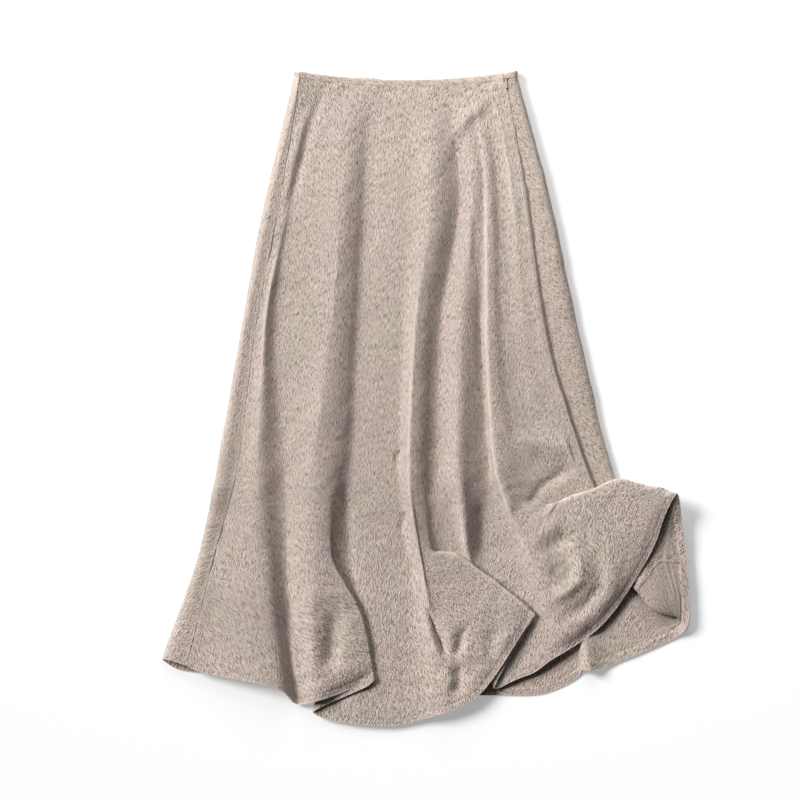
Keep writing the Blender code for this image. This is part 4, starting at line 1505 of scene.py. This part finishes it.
@dataclass
class Stitches:
    """Runs of machine stitches.

    A section of a stitch lies a share of its length from the middle, is a share of its radius
    wide and sinks by a share of it.
    """

    pitch: float = 3.4
    length: float = 2.5
    radius: float = 0.24
    sides: int = 5
    ahead: float = 0.5
    sections: tuple[tuple[float, float, float], ...] = (
        (-0.5, 0.35, -0.6), (-0.3, 1.0, 0.0), (0.3, 1.0, 0.0), (0.5, 0.35, -0.6),
    )

    def places(self, path: Grid, normals: Grid) -> tuple[Grid, Grid, Grid]:
        """The middle, direction and normal of each stitch along a path.

        Args:
            path: the run's points.
            normals: the cloth's normals there.

        Returns:
            Three arrays with a row for each stitch.
        """
        legs = np.linalg.norm(np.diff(path, axis=0), axis=1)
        gone = np.concatenate([[0], np.cumsum(legs)])
        at = np.arange(self.pitch, gone[-1] - self.pitch, self.pitch)
        middle, beyond, up = (
            np.stack([np.interp(where, gone, values[:, axis]) for axis in range(3)], axis=1)
            for where, values in ((at, path), (at + self.ahead, path), (at, normals))
        )
        return middle, unit(beyond - middle), unit(up)

    def build(
        self, name: str, runs: Sequence[tuple[Grid, Grid]], material: bpy.types.Material
    ) -> bpy.types.Object:
        """One object with every stitch of the runs.

        Args:
            name: the piece's name.
            runs: the path of each run, with its normals.
            material: the thread's finish.

        Returns:
            The object.
        """
        points, faces = [], []
        turns = np.arange(self.sides) * 2 * math.pi / self.sides
        for path, normals in runs:
            for middle, ahead, up in zip(*self.places(path, normals)):
                side = np.cross(ahead, up)
                faces += self.faces(len(points))
                for along, wide, sunk in self.sections:
                    centre = middle + ahead * along * self.length + up * sunk * self.radius
                    reach = self.radius * wide
                    points += [centre + reach * (math.cos(t) * side + math.sin(t) * up) for t in turns]
        return make_object(name, np.array(points), faces, material)

    def faces(self, first: int) -> list[list[int]]:
        """The faces of one stitch from the number of its first point."""
        index = first + np.arange(len(self.sections) * self.sides).reshape(-1, self.sides)
        return tube_faces(index)


@dataclass
class SeamAllowance:
    """The pressed seam allowances inside a side seam, which close it under the two panels' edges."""

    reach: float = 6.5
    wall: float = 0.8
    sink: float = 0.15
    slope: float = 1.4
    start: float = Level.WAIST

    def build(
        self, name: str, front: Cloth, back: Cloth, side: int, material: bpy.types.Material
    ) -> bpy.types.Object:
        """The strip along one seam.

        Args:
            name: the piece's name.
            front: the front's cloth.
            back: the back's.
            side: 0 for the left seam, -1 for the zipped one.
            material: its finish.

        Returns:
            The object.
        """
        halves = [self.half(cloth, front.shares >= self.start, side) for cloth in (back, front)]
        strip = np.concatenate([halves[0][:, ::-1], halves[1]], axis=1)
        strip = strip if side == 0 else strip[:, ::-1]
        normals = normals_of(strip)
        middle = strip - normals * (CLOTH_WALL / 2 + self.wall / 2 - self.sink)
        middle[..., 2] = np.maximum(middle[..., 2], self.wall)
        lift = normals * self.wall / 2
        layers = {"yarns": strip[..., :2] * MM * self.slope, "wear_and_highlight": unworn(strip)}
        return shell(name, middle + lift, middle - lift, material, layers)

    def half(self, cloth: Cloth, rows: Grid, side: int) -> Grid:
        """One panel's allowance: three points a row from its seam inwards.

        Args:
            cloth: the panel's cloth.
            rows: which rows are chosen.
            side: 0 for the left seam, -1 for the zipped one.

        Returns:
            The points, as rows by 3 by 3.
        """
        grid = cloth.settled()[rows]
        grid = grid if side == 0 else grid[:, ::-1]
        across = lengths_along(grid, 1)
        picked = np.empty((grid.shape[0], 3, 3))
        for i, axis in np.ndindex(grid.shape[0], 3):
            picked[i, :, axis] = np.interp((0, self.reach / 2, self.reach), across[i], grid[i, :, axis])
        return picked


@dataclass
class WaistBand:
    """The narrow folded binding that stands on a panel's top edge."""

    width: float = 9.6
    wall: float = 1.9
    gap: float = -0.6
    rows: int = 7
    pucker: float = 0.35
    pucker_pitch: float = 5.5
    squareness: int = 6
    thinnest: float = 0.12
    pucker_wall: float = 0.5
    pucker_foot: float = 0.4
    worn_and_lit: tuple[float, float] = (0.82, 1.0)

    def build(
        self, name: str, edge: Grid, low: float, seed: int, material: bpy.types.Material
    ) -> bpy.types.Object:
        """The band along a panel's top edge, rolled over at its fold and puckered by its stitches.

        Args:
            name: the piece's name.
            edge: the panel's top edge.
            low: the least height of the band's middle.
            seed: the draw of its puckers.
            material: its finish.

        Returns:
            The object.
        """
        run = lengths_along(edge[None], 1)[0]
        path = edge.copy()
        path[:, 2] = np.maximum(path[:, 2], low)
        shares = np.linspace(1, 0, self.rows)[:, None]
        grid = np.stack([path + (0.0, self.gap + self.width * share, 0.0) for share in shares[:, 0]])
        wave = wandering(run / self.pucker_pitch, run * 0, seed) * self.pucker
        rolled = np.sqrt(np.maximum(1 - (2 * shares - 1.0) ** self.squareness, self.thinnest))
        thick = rolled * self.wall / 2 + wave * self.pucker_wall * shares
        normals = normals_of(grid)
        height = self.pucker_foot + (1 - self.pucker_foot) * shares
        grid = grid + normals * (wave * height)[..., None]
        grid[..., 2] = np.maximum(grid[..., 2], thick)
        flat = np.stack(np.broadcast_arrays(run, self.width * shares), axis=2) * MM
        worn_and_lit = np.broadcast_to(smooth_step(shares, *self.worn_and_lit), grid.shape[:2])
        half = normals * thick[..., None]
        layers = {"yarns": flat, "wear_and_highlight": worn_and_lit[..., None]}
        return shell(name, grid + half, grid - half, material, layers)


@dataclass
class ZipTape:
    """The closed tapes and coil of the hidden zip, on the inside along the right seam."""

    wall: float = 0.7
    depth: float = 1.7
    rows: int = 90
    spans: tuple[int, ...] = (4, 5, 5)
    pitch: float = 1.5
    turn_steps: int = 8
    turn_width: float = 1.7
    turn_height: float = 0.45
    coil_sink: float = 0.7
    coil_start: float = 8.0
    coil_spare: float = 12.0
    coil_low: float = 1.3
    wire: float = 0.3
    wire_sides: int = 5

    def middle(self, front: FrontForm, back: BackForm) -> Grid:
        """The tapes' middle surface.

        Args:
            front: the front's form.
            back: the back's.

        Returns:
            Its points, as rows by columns by 3.
        """
        shares = np.linspace(Level.WAIST, Level.ZIP_END, self.rows)
        ahead, behind = front.courses(shares), back.courses(shares)
        seam = (ahead[-1] + behind[-1]) / 2
        grid = rows_through(np.array([ahead[-4], ahead[-3], seam, behind[-2]]), self.spans)
        return grid - normals_of(grid) * self.depth

    def build(
        self, front: FrontForm, back: BackForm, material: bpy.types.Material
    ) -> bpy.types.Object:
        """The two tapes as one woven strip.

        Args:
            front: the front's form.
            back: the back's.
            material: the tapes' finish.

        Returns:
            The object.
        """
        grid = self.middle(front, back)
        half = normals_of(grid) * self.wall / 2
        yarns = np.stack([lengths_along(grid, 1), lengths_along(grid, 0)], axis=2) * MM
        layers = {"yarns": yarns, "wear_and_highlight": unworn(grid)}
        return shell("zip_tapes", grid + half, grid - half, material, layers)

    def coil(
        self, front: FrontForm, back: BackForm, material: bpy.types.Material
    ) -> bpy.types.Object:
        """The zip's coil, a flat spiral along the line between the tapes.

        Args:
            front: the front's form.
            back: the back's.
            material: the coil's finish.

        Returns:
            The object.
        """
        grid = self.middle(front, back)
        between = sum(self.spans[:2])
        line, up = grid[:, between], normals_of(grid)[:, between]
        run = lengths_along(line[None], 1)[0]
        turns = int((run[-1] - self.coil_spare) / self.pitch)
        at = np.linspace(self.coil_start, self.coil_start + turns * self.pitch, turns * self.turn_steps)
        centre, lifted = (
            np.stack([np.interp(at, run, values[:, axis]) for axis in range(3)], axis=1)
            for values in (line, up)
        )
        ahead = unit(np.gradient(centre, axis=0))
        side = unit(np.cross(ahead, lifted))
        angle = np.arange(len(at)) * 2 * math.pi / self.turn_steps
        path = centre + side * (np.cos(angle) * self.turn_width)[:, None]
        path -= lifted * (self.wall / 2 + self.coil_sink - np.sin(angle) * self.turn_height)[:, None]
        path[:, 2] = np.maximum(path[:, 2], self.wire + self.coil_low)
        return tube("zip_coil", path, self.wire, self.wire_sides, material)


def tube_faces(index: Grid) -> list[list[int]]:
    """The faces of a closed tube from the numbers of its points, one row for each ring.

    Args:
        index: the numbers, as rings by sides.

    Returns:
        The numbers of each face's points.
    """
    following = np.roll(index, -1, axis=1)
    quads = np.stack([index[:-1], index[1:], following[1:], following[:-1]], axis=-1).reshape(-1, 4)
    return quads.tolist() + [index[0].tolist(), index[-1][::-1].tolist()]


def tube(
    name: str, path: Grid, radius: float, sides: int, material: bpy.types.Material
) -> bpy.types.Object:
    """A round wire along a path, closed at its ends.

    Args:
        name: the piece's name.
        path: the middle of the wire.
        radius: half its thickness.
        sides: how many flats go round it.
        material: its finish.

    Returns:
        The object.
    """
    ahead = unit(np.gradient(path, axis=0))
    side = unit(np.cross(ahead, (0.0, 0.0, 1.0)))
    up = np.cross(side, ahead)
    turns = (np.arange(sides) * 2 * math.pi / sides)[:, None]
    rings = path[:, None] + radius * (np.cos(turns) * side[:, None] + np.sin(turns) * up[:, None])
    index = np.arange(len(path) * sides).reshape(len(path), sides)
    return make_object(name, rings.reshape(-1, 3), tube_faces(index), material)


# ---- The skirt and its setting -----------------------------------------------------------------


@dataclass
class Skirt:
    """The whole skirt: its panels, seams, waist bands and zip.

    A crumple is a height and a draw, and a band is its least height and the draw of its puckers.
    """

    pattern: Pattern = field(default_factory=Pattern)
    hem_rows: tuple[float, ...] = (13.0, 11.4, 10.2, 9.3, 8.4, 7.2, 5.0, 2.6, 1.0, 0.0)
    upper_row: float = 5.2
    lower_row: float = 3.4
    mouth_row: float = 2.5
    gore_length: float = 890.0
    front_crumple: tuple[float, int] = (0.55, 11)
    back_crumple: tuple[float, int] = (0.4, 47)
    front_band: tuple[float, int] = (0.0, 5)
    back_band: tuple[float, int] = (1.0, 6)

    def shares(self) -> Grid:
        """The share of the way down of each row: closer where the cloth folds more."""
        spans = (
            (Level.WAIST, Level.MOUTH, self.mouth_row), (Level.MOUTH, Level.KNEE, self.upper_row),
            (Level.KNEE, Level.HEM, self.lower_row),
        )
        found: list[float] = []
        for start, end, row in spans:
            count = max(round((end - start) * self.gore_length / row), 2)
            found += [start + (end - start) * i / count for i in range(count)]
        return np.array(found + [Level.HEM])

    def cloth(self, form: FrontForm | BackForm) -> Cloth:
        """A panel's sampled cloth.

        Args:
            form: the panel's middle surface.

        Returns:
            The cloth, without creases.
        """
        shares = self.shares()
        grid, columns = sampled(form.courses(shares), form.column_width)
        grid = hem_rows(grid, self.hem_rows)
        grid[..., 2] = np.maximum(grid[..., 2], FLAT_Z)
        return Cloth(grid, dict(zip(form.names, columns)), shares, form.outside)

    def build(self) -> None:
        """Builds and dresses every piece."""
        front_form = FrontForm(self.pattern)
        back_form = BackForm(self.pattern, front_form)
        front, back = self.cloth(front_form), self.cloth(back_form)
        front.crease(FRONT_CREASES)
        back.crease(BACK_CREASES)
        front.crumple(*self.front_crumple)
        back.crumple(*self.back_crumple)
        inside = OATMEAL_BACK.material()
        panels = PanelPiece(front), PanelPiece(back)
        self.lay_panels(*panels, inside)
        self.sew_seams(front, back, inside)
        self.bind_waist(front, back)
        self.stitch_hems(panels)
        self.fit_zip(front_form, back_form)

    @staticmethod
    def lay_panels(front: PanelPiece, back: PanelPiece, inside: bpy.types.Material) -> None:
        """The two panels' cloth.

        Args:
            front: the front.
            back: the back.
            inside: the finish of the cloth's wrong side.
        """
        front_cloth = dress(front.build("front_cloth", OATMEAL.material()), OATMEAL.name, "front_panel")
        back_cloth = dress(back.build("back_cloth", inside), OATMEAL_BACK.name, "back_panel")

    @staticmethod
    def sew_seams(front: Cloth, back: Cloth, inside: bpy.types.Material) -> None:
        """The allowances inside the side seams, the right one below the zip.

        Args:
            front: the front's cloth.
            back: the back's.
            inside: the finish of the cloth's wrong side.
        """
        left, right = SeamAllowance(), SeamAllowance(start=Level.ZIP_END)
        dress(left.build("left_seam_allowance", front, back, 0, inside), OATMEAL_BACK.name)
        dress(right.build("right_seam_allowance", front, back, -1, inside), OATMEAL_BACK.name)

    def bind_waist(self, front: Cloth, back: Cloth) -> None:
        """The bindings of the two panels' top edges.

        Args:
            front: the front's cloth.
            back: the back's.
        """
        band, bound = WaistBand(), BINDING.material()
        front_band = band.build("front_waist_band", front.grid[0], *self.front_band, bound)
        back_band = band.build("back_waist_band", back.grid[0], *self.back_band, bound)
        dress(front_band, BINDING.name, "front_waist_binding")
        dress(back_band, BINDING.name, "back_waist_binding")

    @staticmethod
    def stitch_hems(panels: Iterable[PanelPiece]) -> None:
        """The stitches that hold the panels' hems."""
        runs = [panel.hem_run() for panel in panels]
        dress(Stitches().build("hem_stitching", runs, THREAD.material()), OATMEAL.name)

    @staticmethod
    def fit_zip(front: FrontForm, back: BackForm) -> None:
        """The zip's tapes and coil, and the finishes of the slider and the pull tab.

        Args:
            front: the front's form.
            back: the back's.
        """
        zip_tape = ZipTape()
        dress(zip_tape.build(front, back, TAPE.material()), TAPE.name, "zip_tape")
        dress(zip_tape.coil(front, back, COIL.material()), TAPE.name)
        for node, finish in (("zip_slider", SLIDER_METAL), ("zip_pull_tab", TAB_ENAMEL)):
            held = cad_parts[node]
            held.data.materials.clear()
            held.data.materials.append(finish.material())
            log.info("%s: new finish %s", node, finish.name)


@dataclass
class Studio:
    """The floor, the light and the camera straight above, in metres but for the floor."""

    view_middle: tuple[float, float] = (-0.0344, -0.0021)
    view_width: float = 1.1
    camera_height: float = 8.0
    sensor: float = 36.0
    sun_strength: float = 3.65
    sun_angle: float = 24.0
    sun_heading: float = -29.0
    sun_elevation: float = 34.0
    sky: float = 0.05
    fill_place: tuple[float, float, float] = (-0.05, 1.35, 1.0)
    fill_size: float = 1.2
    fill_power: float = 13.0
    fill_aim: float = 0.2
    floor_half: float = 4000.0
    floor_drop: float = 0.3

    def floor(self) -> None:
        """The pale plane just under the skirt."""
        sides = ((-1, -1), (1, -1), (1, 1), (-1, 1))
        corners = [(x * self.floor_half, y * self.floor_half, -self.floor_drop) for x, y in sides]
        make_object("floor", np.array(corners), [(0, 1, 2, 3)], Floor().material())

    @staticmethod
    def lamp(light: bpy.types.Light, place: Vector, toward: Vector) -> None:
        """Stands a light at a place, turned in a direction.

        Args:
            light: the light.
            place: where it stands, in metres.
            toward: the direction in which it shines.
        """
        held = bpy.data.objects.new(light.name, light)
        held.location = place
        held.rotation_euler = toward.to_track_quat("-Z", "Y").to_euler()
        bpy.context.scene.collection.objects.link(held)

    def light(self) -> None:
        """One soft key from the upper left and a weak fill from beyond the waist."""
        key = bpy.data.lights.new("key", "SUN")
        key.energy, key.angle = self.sun_strength, math.radians(self.sun_angle)
        heading, elevation = math.radians(self.sun_heading), math.radians(self.sun_elevation)
        ahead = Vector((math.cos(heading), math.sin(heading), -math.tan(elevation)))
        self.lamp(key, Vector((0.0, 0.0, 0.0)), ahead)
        fill = bpy.data.lights.new("fill", "AREA")
        fill.energy, fill.size = self.fill_power, self.fill_size
        place = Vector(self.fill_place)
        self.lamp(fill, place, Vector((self.view_middle[0], self.fill_aim, 0.0)) - place)

    def surround(self) -> None:
        """An even dim sky that is bright to the camera."""
        world = bpy.data.worlds.new("sky")
        board = Board(world)
        seen = board.rays("Is Camera Ray", "Is Transmission Ray")
        strength = seen * (1.0 - self.sky) + self.sky
        background = board.node("ShaderNodeBackground", None, {"Strength": strength})
        board.node("ShaderNodeOutputWorld", None, {"Surface": background.outputs[0]})
        bpy.context.scene.world = world

    def camera(self) -> None:
        """A long lens straight above."""
        lens = bpy.data.cameras.new("overhead")
        lens.sensor_width = self.sensor
        lens.lens = self.sensor * self.camera_height / self.view_width
        camera = bpy.data.objects.new("overhead", lens)
        camera.location = (*self.view_middle, self.camera_height)
        bpy.context.scene.collection.objects.link(camera)
        bpy.context.scene.camera = camera

    def build(self) -> None:
        """Sets everything up."""
        self.floor()
        self.light()
        self.surround()
        self.camera()
        bpy.context.scene.view_settings.view_transform = "Standard"


def main() -> None:
    """Builds the skirt, then the studio."""
    Skirt().build()
    Studio().build()


if __name__ == "__main__":
    logging.basicConfig(level=logging.INFO, format="%(message)s")
    main()
